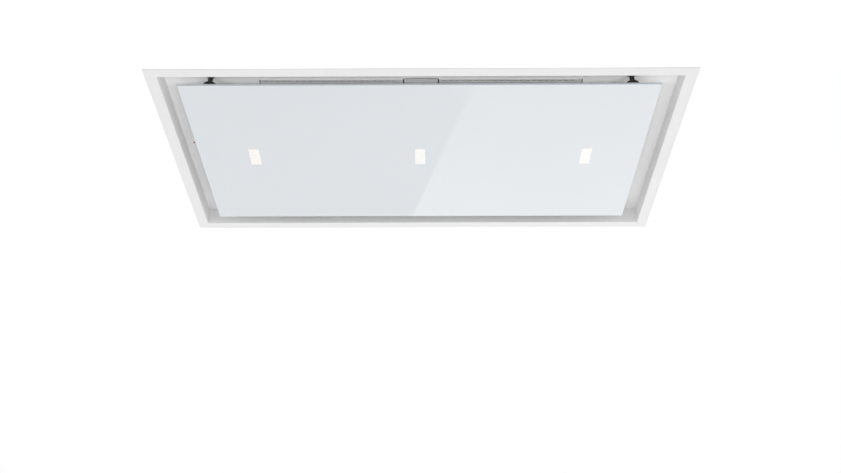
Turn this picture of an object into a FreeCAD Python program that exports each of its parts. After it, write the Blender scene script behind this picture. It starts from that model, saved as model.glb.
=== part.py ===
import FreeCAD, Part

import math
import os
import re

import Sketcher

# A range hood that hangs above a kitchen island, flush with the ceiling. A white frame with a recess lies in the
# ceiling; a glass panel hangs in the recess and leaves a slot all round, through which the air is drawn.
# X runs along the hood, Y goes from its front to its hinged back, Z is up.
# The origin is the centre of the four suspension holes, on the upper face of the rails.

# Driving sizes, in millimetres and degrees.
SIZES = {
    # Ceiling frame
    "flange_length": 1200,
    "flange_depth": 700,
    "flange_width": 27,
    "flange_thickness": 1.5,
    "frame_wall": 1.5,
    "seat_rise": 0.5,
    "seat_margin": 0.5,
    "recess_height": 43.7,
    # Recess tray
    "tray_sheet": 1.2,
    "tray_upturn": 20,
    "tray_side_margin": 212,
    "tray_end_margin": 69.5,
    # Housing above the ceiling
    "housing_sheet": 1,
    "housing_gap": 0.5,
    "lap_width": 15,
    # Suspension rails
    "rail_height": 22,
    "rail_sheet": 2,
    "rail_leg": 30,
    "rail_inset": 56,
    "rail_end_gap": 26,
    "rod_hole_inset": 56,
    "rod_hole_radius": 4.5,
    "bolt_radius": 3,
    "bolt_head_radius": 5.5,
    "bolt_head_height": 4,
    "bolt_nut_height": 3,
    "bolt_inset": 130,
    "hole_clearance": 0.1,
    # Duct collar and its flaps
    "spigot_radius": 74.5,
    "spigot_wall": 1,
    "spigot_height": 60,
    "collar_base": 190,
    "collar_sheet": 1.5,
    "screw_radius": 2,
    "screw_head_radius": 4,
    "screw_head_height": 2.4,
    "screw_inset": 12,
    "flap_height": 34,
    "flap_sheet": 0.8,
    "flap_edge_gap": 1.5,
    "flap_middle_gap": 0.5,
    "flap_pin_radius": 1.5,
    "flap_barrel_radius": 3,
    "flap_barrel_start": 4,
    "flap_barrel_end": 60,
    "stop_width": 3,
    "stop_sheet": 1,
    # Blower
    "wheel_radius": 62,
    "wheel_width": 100,
    "wheel_rim": 11,
    "wheel_sheet": 2,
    "blade_sheet": 0.8,
    "blade_lean": 12,
    "hub_radius": 9,
    "hub_length": 14,
    "tongue_gap": 10,
    "scroll_growth": 10,
    "scroll_sheet": 1,
    "outlet_depth": 85,
    "outlet_neck": 17,
    "inlet_radius": 52,
    "inlet_lip": 7,
    "inlet_gap": 3,
    "gasket_thickness": 3,
    "gasket_width": 6,
    "blower_clearance": 13.3,
    "shaft_radius": 4,
    "shaft_inset": 1,
    "motor_radius": 34,
    "motor_gap": 9,
    "bearing_radius": 9,
    "bearing_width": 7,
    "bearing_inset": 3,
    "arm_width": 14,
    "arm_sheet": 3,
    "arm_lap": 8,
    "arm_disc_radius": 26,
    # Glass panel
    "side_gap": 41,
    "end_gap": 33.3,
    "panel_offset": -3.5,
    "panel_lift": 1.5,
    "glass_thickness": 5,
    "backing_sheet": 1,
    "backing_upturn": 14,
    "backing_inset": 30,
    "backing_front_inset": 36,
    # Lamps in the panel
    "lamp_inset": 132,
    "lens_width": 25,
    "lens_depth": 67.5,
    "lens_gap": 0.2,
    "lens_seat": 2.5,
    "lamp_width": 44,
    "lamp_depth": 100,
    "lamp_height": 9,
    # Panel hinge
    "hinge_inset": 232,
    "hinge_edge": 8.7,
    "hinge_rise": 8.5,
    "hinge_gap": 0.8,
    "barrel_radius": 5.5,
    "barrel_length": 30,
    "ear_sheet": 2.5,
    "ear_gap": 0.5,
    "bracket_sheet": 2,
    "bracket_depth": 20,
    "hinge_pin_radius": 3,
    "pin_overhang": 1.5,
    # Posts and catches
    "post_side_inset": 63.5,
    "post_front_inset": 20.7,
    "post_foot_radius": 14.4,
    "post_foot_height": 13.2,
    "post_cone_height": 1.5,
    "post_radius": 5.6,
    "neck_radius": 4,
    "neck_start": 5,
    "neck_length": 6,
    "ball_radius": 6.5,
    "post_hole_radius": 9.5,
    "catch_size": 44,
    "catch_height": 34,
    "catch_wall": 1.5,
    "clip_sheet": 1,
    "clip_width": 14,
    "clip_gap": 1,
    "clip_lip": 2.5,
    # Filters and bridge
    "filter_thickness": 9,
    "filter_border": 24,
    "filter_end_gap": 2,
    "filter_side_gap": 0.5,
    "filter_shift": 2.4,
    "filter_lip": 1.8,
    "filter_lip_width": 60,
    "tongue_reach": 9,
    "tongue_sheet": 1,
    "slide_gap": 0.3,
    "mesh_thickness": 6,
    "mesh_gap": 0.2,
    "slot_length": 8.5,
    "slot_width": 3.4,
    "slot_depth": 1.2,
    "slot_pitch": 14.4,
    "slot_inset": 7.5,
    "bridge_width": 75.6,
    "shift_gap": 0.5,
    "bridge_lap": 1,
    "bridge_sheet": 2,
    "bridge_web": 14.8,
    "bridge_channel": 34,
    "spring_place": 150,
    "spring_half_length": 25,
    "spring_sheet": 0.5,
    "spring_width": 6,
    "spring_rise": 2,
    # Controls
    "receiver_inset": 18.5,
    "receiver_place": -3,
    "receiver_radius": 2.4,
    "receiver_drop": 1,
    "receiver_body": 14,
    "receiver_height": 8,
    "bezel_radius": 4.6,
    "bezel_drop": 0.6,
    "control_inset": 39.5,
    "control_width": 135,
    "control_depth": 200,
    "control_height": 45,
    "control_sheet": 1.2,
    "control_lip": 8,
    "board_width": 100,
    "board_depth": 110,
    "board_sheet": 1.6,
    "board_rise": 8,
    "board_place": 30,
    "standoff_radius": 3,
    "standoff_inset": 8,
    "terminal_width": 60,
    "terminal_depth": 20,
    "terminal_height": 22,
    "terminal_place": -75,
    "capacitor_radius": 15,
    "capacitor_length": 60,
    "capacitor_place": -48,
    "gland_side_inset": 156,
    "gland_place": 200,
    "gland_bore": 4.5,
    "gland_thread_radius": 8,
    "gland_flange_radius": 11,
    "gland_flange": 4,
    "gland_dome": 12,
    "gland_tail": 10,
    # Fits
    "seat_clearance": 0.01,
    "running_clearance": 0.04,
}
BLADE_COUNT = 36
ARM_COUNT = 3
BOLT_SPREAD = (-1, -0.35, 0.35, 1)
SIDES = {"left": -1, "right": 1}

# Heights, from the suspension holes down to the flange.
TOP_PLATE_TOP = "(-rail_height)"
TOP_PLATE_UNDER = "(-rail_height - housing_sheet)"
OUTLET_TOP = f"({TOP_PLATE_UNDER} - gasket_thickness)"
SCROLL_RADIUS = "(wheel_radius + tongue_gap)"
SHAFT_Z = f"({OUTLET_TOP} - {SCROLL_RADIUS} - outlet_neck)"
FILTER_TOP = f"({SHAFT_Z} - {SCROLL_RADIUS} - scroll_growth - blower_clearance)"
TRAY_UNDER = f"({FILTER_TOP} - filter_thickness)"
TRAY_TOP = f"({TRAY_UNDER} + tray_sheet)"
FLANGE_UNDER = f"({TRAY_UNDER} - recess_height)"
CEILING = f"({FLANGE_UNDER} + flange_thickness)"
SEAT = f"({CEILING} + seat_rise)"
GLASS_UNDER = f"({FLANGE_UNDER} + panel_lift)"
GLASS_TOP = f"({GLASS_UNDER} + glass_thickness)"
BACKING_FLOOR = f"({GLASS_TOP} + backing_sheet)"
HINGE_Z = f"({GLASS_TOP} + hinge_rise)"

# Half lengths and half depths, from the middle of the hood.
OPENING_X = "(flange_length / 2 - flange_width)"
OPENING_Y = "(flange_depth / 2 - flange_width)"
TRAY_X = f"({OPENING_X} + frame_wall)"
TRAY_Y = f"({OPENING_Y} + frame_wall)"
INNER_X = f"({TRAY_X} + housing_gap)"
INNER_Y = f"({TRAY_Y} + housing_gap)"
OUTER_X = f"({INNER_X} + housing_sheet)"
OUTER_Y = f"({INNER_Y} + housing_sheet)"
BAY_X = f"({TRAY_X} - tray_side_margin)"
BAY_Y = f"({TRAY_Y} - tray_end_margin)"
PANEL_X = f"({OPENING_X} - side_gap)"
PANEL_Y = f"({OPENING_Y} - end_gap)"
POST_X = f"({PANEL_X} - post_side_inset)"
POST_Y = f"(post_front_inset - {PANEL_Y})"
HINGE_X = f"({PANEL_X} - hinge_inset)"
HINGE_Y = f"({PANEL_Y} - hinge_edge)"
BACKING_BACK = f"({HINGE_Y} - barrel_radius - hinge_gap)"
LAMP_PITCH = f"({PANEL_X} - lamp_inset)"
RAIL_X = f"({OUTER_X} - rail_inset)"
ROD_Y = f"({OUTER_Y} - rod_hole_inset)"
SPIGOT_INNER = "(spigot_radius - spigot_wall)"
SCROLL_RIGHT = f"({SCROLL_RADIUS} + 3 * scroll_growth)"
SHAFT_Y = f"(outlet_depth / 2 - {SCROLL_RIGHT})"
SCROLL_X = "(wheel_width / 2 + inlet_lip + inlet_gap)"
SCROLL_OUTER_X = f"({SCROLL_X} + scroll_sheet)"
MOTOR_END = "(wheel_sheet / 2 + motor_gap)"
FILTER_INNER = "(bridge_width / 2 + filter_shift + shift_gap)"
FILTER_OUTER = f"({BAY_X} - filter_end_gap)"
FILTER_Y = f"({BAY_Y} - filter_side_gap)"
BALL_Z = f"({TRAY_UNDER} + neck_start + neck_length + ball_radius)"
RECEIVER_X = f"(receiver_inset - {OPENING_X})"
CONTROL_X = f"(control_inset - {TRAY_X})"
CONTROL_MIDDLE = f"({CONTROL_X} + control_width / 2)"
CONTROL_FLOOR = f"({TRAY_TOP} + control_sheet)"
GLAND_X = f"(gland_side_inset - {OUTER_X})"

doc = FreeCAD.newDocument("IslandHood")
sheet = doc.addObject("Spreadsheet::Sheet", "Sizes")
for row, (alias, number) in enumerate(SIZES.items(), start=1):
    sheet.set(f"A{row}", alias)
    sheet.set(f"B{row}", str(number))
    sheet.setAlias(f"B{row}", alias)
doc.recompute()
nodes = []


def bind(thing, prop, text):
    """Bind a property to an expression whose size names are cells of the sheet."""
    thing.setExpression(prop, re.sub(r"\b[a-z]+(?:_[a-z]+)+\b", r"Sizes.\g<0>", text))


def node(name, thing):
    """Give a finished sub-part its name."""
    thing.Label = name
    nodes.append(thing)
    return thing


def place(thing, x="0", y="0", z="0"):
    """Put a thing at a point given by three expressions."""
    for axis, text in zip("xyz", (x, y, z)):
        bind(thing, f"Placement.Base.{axis}", text)
    return thing


def both(half):
    """Range that reaches the same distance to both sides of zero."""
    return f"-{half}", half


def around(middle, size):
    """Range of a size centred on a middle."""
    return f"{middle} - ({size}) / 2", f"{middle} + ({size}) / 2"


def above(base, height):
    """Range that starts at a base and rises."""
    return base, f"{base} + ({height})"


def below(top, height):
    """Range that ends at a top."""
    return f"{top} - ({height})", top


def outward(side, near, far):
    """Range between two distances from the middle plane, on the left (-1) or right (1) side."""
    return (near, far) if side > 0 else (f"-({far})", f"-({near})")


def block(name, x, y, z):
    """Box between low and high expressions along each axis."""
    box = doc.addObject("Part::Box", name)
    for prop, (low, high) in zip(("Length", "Width", "Height"), (x, y, z)):
        bind(box, prop, f"({high}) - ({low})")
    return place(box, x[0], y[0], z[0])


def rod(name, radius, length, x="0", y="0", z="0", along="z"):
    """Cylinder that starts at a point and runs along an axis."""
    cylinder = doc.addObject("Part::Cylinder", name)
    turn = {"x": ((0, 1, 0), 90), "y": ((1, 0, 0), -90), "z": ((0, 0, 1), 0)}[along]
    cylinder.Placement.Rotation = FreeCAD.Rotation(FreeCAD.Vector(*turn[0]), turn[1])
    bind(cylinder, "Radius", radius)
    bind(cylinder, "Height", length)
    return place(cylinder, x, y, z)


def cone(name, low_radius, high_radius, height, x, y, z):
    """Upright cone frustum."""
    frustum = doc.addObject("Part::Cone", name)
    bind(frustum, "Radius1", low_radius)
    bind(frustum, "Radius2", high_radius)
    bind(frustum, "Height", height)
    return place(frustum, x, y, z)


def ball(name, radius, x, y, z):
    """Sphere about a point."""
    sphere = doc.addObject("Part::Sphere", name)
    bind(sphere, "Radius", radius)
    return place(sphere, x, y, z)


def hexagon(name, radius, height, x, y, z):
    """Upright hexagonal prism, for bolt heads and nuts."""
    prism = doc.addObject("Part::Prism", name)
    prism.Polygon = 6
    bind(prism, "Circumradius", radius)
    bind(prism, "Height", height)
    return place(prism, x, y, z)


def join(name, things):
    """Weld things into one solid."""
    fuse = doc.addObject("Part::MultiFuse", name)
    fuse.Shapes = things
    fuse.Refine = True
    return fuse


def group(name, things):
    """Keep things as separate solids of one sub-part."""
    compound = doc.addObject("Part::Compound", name)
    compound.Links = things
    return compound


def cut(name, base, tools):
    """Take tools away from a base."""
    result = doc.addObject("Part::Cut", name)
    result.Base = base
    result.Tool = tools[0] if len(tools) == 1 else group(name + "_tools", tools)
    return result


def origin_feature(body, role):
    """One of a body's own planes or axes."""
    return next(feature for feature in body.Origin.OriginFeatures if feature.Role == role)


def new_body(name):
    """Empty body."""
    return doc.addObject("PartDesign::Body", name)


def new_sketch(body, name, role, offset="0"):
    """Sketch on one of the body's own planes, moved along its normal by an offset."""
    sketch = body.newObject("Sketcher::SketchObject", name)
    sketch.AttachmentSupport = [(origin_feature(body, role), "")]
    sketch.MapMode = "FlatFace"
    bind(sketch, "AttachmentOffset.Base.z", offset)
    return sketch


def fix_point(sketch, geometry, point, texts):
    """Bind a sketch point's two coordinates; a free coordinate is None."""
    for kind, text in zip(("DistanceX", "DistanceY"), texts):
        if text is not None:
            start = sketch.getPoint(geometry, point)
            value = start.x if kind == "DistanceX" else start.y
            index = sketch.addConstraint(Sketcher.Constraint(kind, -1, 1, geometry, point, value))
            bind(sketch, f"Constraints[{index}]", text)


def add_loop(sketch, corners):
    """Closed outline of straight lines; the solver moves its rough start to the bound corners."""
    first = sketch.GeometryCount
    count = len(corners)
    turns = [2 * math.pi * index / count for index in range(count)]
    starts = [FreeCAD.Vector(math.cos(turn), math.sin(turn), 0) for turn in turns]
    for index in range(count):
        sketch.addGeometry(Part.LineSegment(starts[index], starts[(index + 1) % count]), False)
    for index in range(count):
        following = first + (index + 1) % count
        sketch.addConstraint(Sketcher.Constraint("Coincident", first + index, 2, following, 1))
    for index, corner in enumerate(corners):
        fix_point(sketch, first + index, 1, corner)


def rectangle(x, y):
    """Corners of a rectangle between low and high expressions."""
    return [(x[0], y[0]), (x[1], y[0]), (x[1], y[1]), (x[0], y[1])]


def pad(body, sketch, name, length):
    """Pad a sketch along its normal."""
    feature = body.newObject("PartDesign::Pad", name)
    feature.Profile = sketch
    bind(feature, "Length", length)
    body.Tip = feature
    return feature


def plate(body, name, loops, base, height):
    """Pad of a level outline, holes included, from a base height upwards."""
    sketch = new_sketch(body, name + "_outline", "XY_Plane", base)
    for corners in loops:
        add_loop(sketch, corners)
    return pad(body, sketch, name, height)


def revolve(body, name, loops, role="XZ_Plane", axis="V_Axis"):
    """Full turn of outlines about an axis of their sketch."""
    sketch = new_sketch(body, name + "_outline", role)
    for corners in loops:
        add_loop(sketch, corners)
    feature = body.newObject("PartDesign::Revolution", name)
    feature.Profile = sketch
    feature.ReferenceAxis = (sketch, [axis])
    feature.Angle = 360
    body.Tip = feature
    return feature


# Ceiling frame: a flat flange under the ceiling, folded up into the walls of the recess. A raised seat beside the
# walls carries the housing, so the rest of the flange lies flat on the ceiling.
opening = rectangle(both(OPENING_X), both(OPENING_Y))
frame = new_body("FrameBody")
flange = rectangle(both("(flange_length / 2)"), both("(flange_depth / 2)"))
plate(frame, "frame_flange", [flange, opening], FLANGE_UNDER, "flange_thickness")
seat_edge = rectangle(both(f"({OUTER_X} + seat_margin)"), both(f"({OUTER_Y} + seat_margin)"))
plate(frame, "frame_seat", [seat_edge, opening], FLANGE_UNDER, "flange_thickness + seat_rise")
frame_wall = rectangle(both(TRAY_X), both(TRAY_Y))
plate(frame, "frame_walls", [frame_wall, opening], FLANGE_UNDER, "recess_height")
node("ceiling_frame", frame)

# Recess tray: closes the recess, stiffened by upturned edges, with a bay for the filters.
tray = new_body("TrayBody")
bay = rectangle(both(BAY_X), both(BAY_Y))
tray_edge = rectangle(both(TRAY_X), both(TRAY_Y))
tray_inside = rectangle(both(f"({TRAY_X} - tray_sheet)"), both(f"({TRAY_Y} - tray_sheet)"))
plate(tray, "tray_plate", [tray_edge, bay], TRAY_UNDER, "tray_sheet")
plate(tray, "tray_edges", [tray_edge, tray_inside], TRAY_UNDER, "tray_upturn")
tray_holes = [
    rod("receiver_hole", "receiver_radius + hole_clearance", "3 * tray_sheet",
        RECEIVER_X, "receiver_place", f"{TRAY_UNDER} - tray_sheet")
]
for side_name, side in SIDES.items():
    tray_holes.append(rod(f"post_hole_{side_name}", "post_hole_radius", "3 * tray_sheet",
                          f"{side} * {POST_X}", POST_Y, f"{TRAY_UNDER} - tray_sheet"))
node("recess_tray", cut("tray_cut", tray, tray_holes))

# Housing: four sheet walls on the seat of the frame, with laps turned in under the top plate.
for side_name, side in {"front": -1, "back": 1}.items():
    wall = block(f"wall_sheet_{side_name}", both(OUTER_X), outward(side, INNER_Y, OUTER_Y),
                 (SEAT, TOP_PLATE_UNDER))
    lap = block(f"wall_lap_{side_name}", both(INNER_X), outward(side, f"{INNER_Y} - lap_width", OUTER_Y),
                below(TOP_PLATE_UNDER, "housing_sheet"))
    node(f"housing_wall_{side_name}", join(f"wall_{side_name}", [wall, lap]))
for side_name, side in SIDES.items():
    lap_x = outward(side, f"{INNER_X} - lap_width", OUTER_X)
    lap_top = f"({TOP_PLATE_UNDER} - housing_sheet)"
    lap_foot = f"({TRAY_UNDER} + tray_upturn + housing_gap)"
    pieces = [
        block(f"wall_sheet_{side_name}", outward(side, INNER_X, OUTER_X), both(INNER_Y),
              (SEAT, TOP_PLATE_UNDER)),
        block(f"wall_lap_{side_name}", lap_x, both(f"({INNER_Y} - lap_width)"),
              below(TOP_PLATE_UNDER, "housing_sheet")),
    ]
    for end_name, end in {"front": -1, "back": 1}.items():
        pieces.append(block(f"corner_lap_{side_name}_{end_name}", lap_x,
                            outward(end, f"{INNER_Y} - housing_sheet", INNER_Y), (lap_foot, lap_top)))
    node(f"housing_wall_{side_name}", join(f"wall_{side_name}", pieces))

# Top plate: carries the rails, the duct collar, the blower and the cable gland.
bolt_places = []
for side_name, side in SIDES.items():
    foot_x = f"{side} * ({RAIL_X} - rail_leg)"
    for index, factor in enumerate(BOLT_SPREAD):
        bolt_places.append((f"{side_name}_{index}", foot_x, f"{factor} * ({OUTER_Y} - bolt_inset)"))
screw_places = []
for index, (turn_x, turn_y) in enumerate(((-1, -1), (1, -1), (1, 1), (-1, 1))):
    reach = "(collar_base / 2 - screw_inset)"
    screw_places.append((str(index), f"{turn_x} * {reach}", f"{turn_y} * {reach}"))
top_holes = [
    block("outlet_hole", both(SCROLL_X), both("(outlet_depth / 2 - scroll_sheet)"),
          around(TOP_PLATE_UNDER, "4 * housing_sheet")),
    rod("gland_hole", "gland_thread_radius + hole_clearance", "3 * housing_sheet",
        GLAND_X, "gland_place", f"{TOP_PLATE_UNDER} - housing_sheet"),
]
for name, x, y in bolt_places:
    top_holes.append(rod(f"plate_bolt_hole_{name}", "bolt_radius + hole_clearance", "3 * housing_sheet",
                         x, y, f"{TOP_PLATE_UNDER} - housing_sheet"))
for name, x, y in screw_places:
    top_holes.append(rod(f"plate_screw_hole_{name}", "screw_radius + hole_clearance", "3 * housing_sheet",
                         x, y, f"{TOP_PLATE_UNDER} - housing_sheet"))
top_sheet = block("top_sheet", both(OUTER_X), both(OUTER_Y), (TOP_PLATE_UNDER, TOP_PLATE_TOP))
node("housing_top_plate", cut("top_plate_cut", top_sheet, top_holes))

# Suspension rails: Z-shaped, foot bolted to the top plate, upper leg with holes for threaded rods.
RAIL_Y = f"({OUTER_Y} - rail_end_gap)"
for side_name, side in SIDES.items():
    web_near = f"({RAIL_X} - rail_leg / 2)"
    web_far = f"({web_near} + rail_sheet)"
    legs = [
        block(f"rail_foot_{side_name}", outward(side, f"{web_far} - rail_leg", web_far), both(RAIL_Y),
              above(TOP_PLATE_TOP, "rail_sheet")),
        block(f"rail_web_{side_name}", outward(side, web_near, web_far), both(RAIL_Y), (TOP_PLATE_TOP, "0")),
        block(f"rail_leg_{side_name}", outward(side, web_near, f"{web_near} + rail_leg"), both(RAIL_Y),
              below("0", "rail_sheet")),
    ]
    rail_holes = []
    for end in (-1, 1):
        rail_holes.append(rod(f"rod_hole_{side_name}_{end + 1}", "rod_hole_radius", "3 * rail_sheet",
                              f"{side} * {RAIL_X}", f"{end} * {ROD_Y}", "-2 * rail_sheet"))
    for name, x, y in bolt_places:
        if name.startswith(side_name):
            rail_holes.append(rod(f"rail_bolt_hole_{name}", "bolt_radius + hole_clearance", "3 * rail_sheet",
                                  x, y, f"{TOP_PLATE_TOP} - rail_sheet"))
    rail = join(f"rail_profile_{side_name}", legs)
    node(f"suspension_rail_{side_name}", cut(f"rail_cut_{side_name}", rail, rail_holes))

# Bolts of the rails, each with its head on the foot and its nut under the top plate.
bolts = []
for name, x, y in bolt_places:
    head_z = f"({TOP_PLATE_TOP} + rail_sheet)"
    nut_z = f"({TOP_PLATE_UNDER} - bolt_nut_height)"
    bolts.append(join(f"bolt_{name}", [
        hexagon(f"bolt_head_{name}", "bolt_head_radius", "bolt_head_height", x, y, head_z),
        rod(f"bolt_shank_{name}", "bolt_radius", f"{head_z} - {nut_z}", x, y, nut_z),
        hexagon(f"bolt_nut_{name}", "bolt_head_radius", "bolt_nut_height", x, y, nut_z),
    ]))
node("rail_bolts", group("rail_bolt_set", bolts))

# Duct collar: a square base with a round spigot; a ledge inside stops the flaps.
FLAP_Z = f"({TOP_PLATE_TOP} + flap_height)"
LEDGE_TOP = f"({FLAP_Z} - flap_sheet / 2 - slide_gap)"
collar = new_body("SpigotBody")
ledge_inner = f"{SPIGOT_INNER} - stop_width"
base_top = f"({TOP_PLATE_TOP} + collar_sheet)"
spigot_top = f"{TOP_PLATE_TOP} + spigot_height"
revolve(collar, "spigot_turn", [[
    (SPIGOT_INNER, TOP_PLATE_TOP),
    ("spigot_radius", TOP_PLATE_TOP),
    ("spigot_radius", spigot_top),
    (SPIGOT_INNER, spigot_top),
    (SPIGOT_INNER, LEDGE_TOP),
    (ledge_inner, LEDGE_TOP),
    (ledge_inner, f"{LEDGE_TOP} - stop_sheet"),
    (SPIGOT_INNER, f"{LEDGE_TOP} - stop_sheet"),
]])
base = block("collar_base_plate", both("(collar_base / 2)"), both("(collar_base / 2)"),
             above(TOP_PLATE_TOP, "collar_sheet"))
base_holes = [rod("duct_hole", SPIGOT_INNER, "3 * collar_sheet", z=f"{TOP_PLATE_TOP} - collar_sheet")]
for name, x, y in screw_places:
    base_holes.append(rod(f"base_screw_hole_{name}", "screw_radius + hole_clearance", "3 * collar_sheet",
                          x, y, f"{TOP_PLATE_TOP} - collar_sheet"))
pin_seat = rod("flap_pin_seat", "flap_pin_radius + seat_clearance", "2 * spigot_radius + 2 * spigot_wall",
               "-spigot_radius - spigot_wall", "0", FLAP_Z, "x")
ledge_relief = block("ledge_relief", both(SPIGOT_INNER), both("(flap_barrel_radius + flap_middle_gap)"),
                     (f"{LEDGE_TOP} - 2 * stop_sheet", FLAP_Z))
collar_base = cut("collar_base_cut", base, base_holes)
collar_spigot = cut("spigot_cut", collar, [join("spigot_openings", [pin_seat, ledge_relief])])
node("duct_collar", join("duct_collar_weld", [collar_base, collar_spigot]))

screws = []
for name, x, y in screw_places:
    screws.append(join(f"screw_{name}", [
        rod(f"screw_head_{name}", "screw_head_radius", "screw_head_height", x, y, base_top),
        rod(f"screw_shank_{name}", "screw_radius", "collar_sheet + 4 * housing_sheet",
            x, y, f"{base_top} - collar_sheet - 4 * housing_sheet"),
    ]))
node("collar_screws", group("collar_screw_set", screws))

# Backdraught flaps: two half discs on one pin across the spigot, each with a barrel on its own half of the pin.
node("flap_hinge_pin", rod("flap_pin", "flap_pin_radius", "2 * spigot_radius",
                           "-spigot_radius", "0", FLAP_Z, "x"))
for flap_name, flap_side, barrel_side in (("front", -1, -1), ("back", 1, 1)):
    disc = rod(f"flap_disc_{flap_name}", f"{SPIGOT_INNER} - flap_edge_gap", "flap_sheet",
               z=f"{FLAP_Z} - flap_sheet / 2")
    keep = block(f"flap_half_{flap_name}", both("spigot_radius"),
                 outward(flap_side, "flap_barrel_radius + flap_middle_gap", "spigot_radius"),
                 around(FLAP_Z, "2 * flap_sheet"))
    half = doc.addObject("Part::Common", f"flap_plate_{flap_name}")
    half.Base, half.Tool = disc, keep
    barrel_x = outward(barrel_side, "flap_barrel_start", "flap_barrel_end")
    barrel = rod(f"flap_barrel_{flap_name}", "flap_barrel_radius", "flap_barrel_end - flap_barrel_start",
                 barrel_x[0], "0", FLAP_Z, "x")
    web = block(f"flap_web_{flap_name}", barrel_x,
                outward(flap_side, "flap_pin_radius", "flap_barrel_radius + 2 * flap_middle_gap"),
                around(FLAP_Z, "flap_sheet"))
    bore = rod(f"flap_bore_{flap_name}", "flap_pin_radius + running_clearance", "2 * spigot_radius",
               "-spigot_radius", "0", FLAP_Z, "x")
    node(f"flap_{flap_name}", cut(f"flap_cut_{flap_name}", join(f"flap_weld_{flap_name}", [half, barrel, web]),
                                  [bore]))


def volute(body, name, inset, offset):
    """Scroll outline seen along the shaft, a wall's inset inside the outer face.

    Three quarter arcs whose radius grows by scroll_growth at each quarter, then the upright outlet and its tongue.
    """
    sketch = new_sketch(body, name, "YZ_Plane", offset)
    radius = f"({SCROLL_RADIUS} - {inset})"
    growth = "scroll_growth"
    top = f"{SCROLL_RADIUS} + outlet_neck"
    tongue = f"{SCROLL_RIGHT} - outlet_depth + {inset}"
    quarter = math.pi / 2
    arcs = [((0, 0), 70, 1), ((10, 0), 80, 2), ((10, 10), 90, 3)]
    for (x, y), rough, turn in arcs:
        circle = Part.Circle(FreeCAD.Vector(x, y, 0), FreeCAD.Vector(0, 0, 1), rough)
        sketch.addGeometry(Part.ArcOfCircle(circle, turn * quarter, (turn + 1) * quarter), False)
    ends = [(100, 10), (100, 90), (20, 90), (20, 70), (0, 70)]
    for start, end in zip(ends, ends[1:]):
        sketch.addGeometry(Part.LineSegment(FreeCAD.Vector(*start, 0), FreeCAD.Vector(*end, 0)), False)
    for index in range(sketch.GeometryCount):
        following = (index + 1) % sketch.GeometryCount
        sketch.addConstraint(Sketcher.Constraint("Coincident", index, 2, following, 1))
    fix_point(sketch, 0, 3, ("0", "0"))
    fix_point(sketch, 1, 3, (growth, "0"))
    fix_point(sketch, 2, 3, (growth, growth))
    fix_point(sketch, 0, 1, ("0", radius))
    fix_point(sketch, 0, 2, (None, "0"))
    fix_point(sketch, 1, 2, (growth, None))
    fix_point(sketch, 2, 2, (None, growth))
    fix_point(sketch, 3, 2, (f"{radius} + 3 * {growth}", top))
    fix_point(sketch, 4, 2, (tongue, top))
    fix_point(sketch, 5, 2, (tongue, radius))
    return sketch


# Scroll: a sheet strip wrapped round the wheel, open at the top, between two side plates with inlet rings.
wrap = new_body("WrapBody")
wrap_start = f"-{SCROLL_X}"
pad(wrap, volute(wrap, "wrap_outside", "0", wrap_start), "wrap_pad", f"2 * {SCROLL_X}")
wrap_inside = volute(wrap, "wrap_inside", "scroll_sheet", wrap_start)
wrap_pocket = wrap.newObject("PartDesign::Pocket", "wrap_pocket")
wrap_pocket.Profile = wrap_inside
wrap_pocket.Reversed = True
bind(wrap_pocket, "Length", f"2 * {SCROLL_X}")
wrap.Tip = wrap_pocket
node("scroll_wrap", place(wrap, "0", SHAFT_Y, SHAFT_Z))

arm_turns = [index * 360 / ARM_COUNT + 90 for index in range(ARM_COUNT)]
arm_bolt_reach = "(inlet_radius + arm_lap)"


def arm_points(turn):
    """Place of a bracket screw at a turn about the shaft."""
    return (f"{SHAFT_Y} + {arm_bolt_reach} * cos({turn})", f"{SHAFT_Z} + {arm_bolt_reach} * sin({turn})")


for side_name, side in SIDES.items():
    cheek = new_body(f"CheekBody_{side_name}")
    cheek_x = outward(side, SCROLL_X, SCROLL_OUTER_X)
    pad(cheek, volute(cheek, f"cheek_outline_{side_name}", "0", cheek_x[0]), f"cheek_pad_{side_name}",
        "scroll_sheet")
    place(cheek, "0", SHAFT_Y, SHAFT_Z)
    lip_x = outward(side, f"{SCROLL_X} - inlet_lip", SCROLL_OUTER_X)
    lip_length = "inlet_lip + scroll_sheet"
    lip = cut(f"inlet_lip_{side_name}",
              rod(f"lip_outside_{side_name}", "inlet_radius + scroll_sheet", lip_length,
                  lip_x[0], SHAFT_Y, SHAFT_Z, "x"),
              [rod(f"lip_inside_{side_name}", "inlet_radius", lip_length, lip_x[0], SHAFT_Y, SHAFT_Z, "x")])
    openings = [rod(f"inlet_{side_name}", "inlet_radius + scroll_sheet / 2", "3 * scroll_sheet",
                    f"{cheek_x[0]} - scroll_sheet", SHAFT_Y, SHAFT_Z, "x")]
    if side_name == "left":
        for index, turn in enumerate(arm_turns):
            openings.append(rod(f"cheek_screw_hole_{index}", "screw_radius + hole_clearance", "3 * scroll_sheet",
                                f"{cheek_x[0]} - scroll_sheet", *arm_points(turn), "x"))
    node(f"scroll_side_{side_name}", join(f"scroll_side_weld_{side_name}",
                                          [cut(f"cheek_cut_{side_name}", cheek, openings), lip]))

# Foam gasket between the scroll's outlet and the top plate.
gasket = new_body("GasketBody")
gasket_inner = rectangle(both(SCROLL_X), both("(outlet_depth / 2 - scroll_sheet)"))
gasket_outer = rectangle(both(f"({SCROLL_X} + gasket_width)"), both("(outlet_depth / 2 + gasket_width)"))
plate(gasket, "gasket_ring", [gasket_outer, gasket_inner], OUTLET_TOP, "gasket_thickness")
node("outlet_gasket", gasket)

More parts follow.
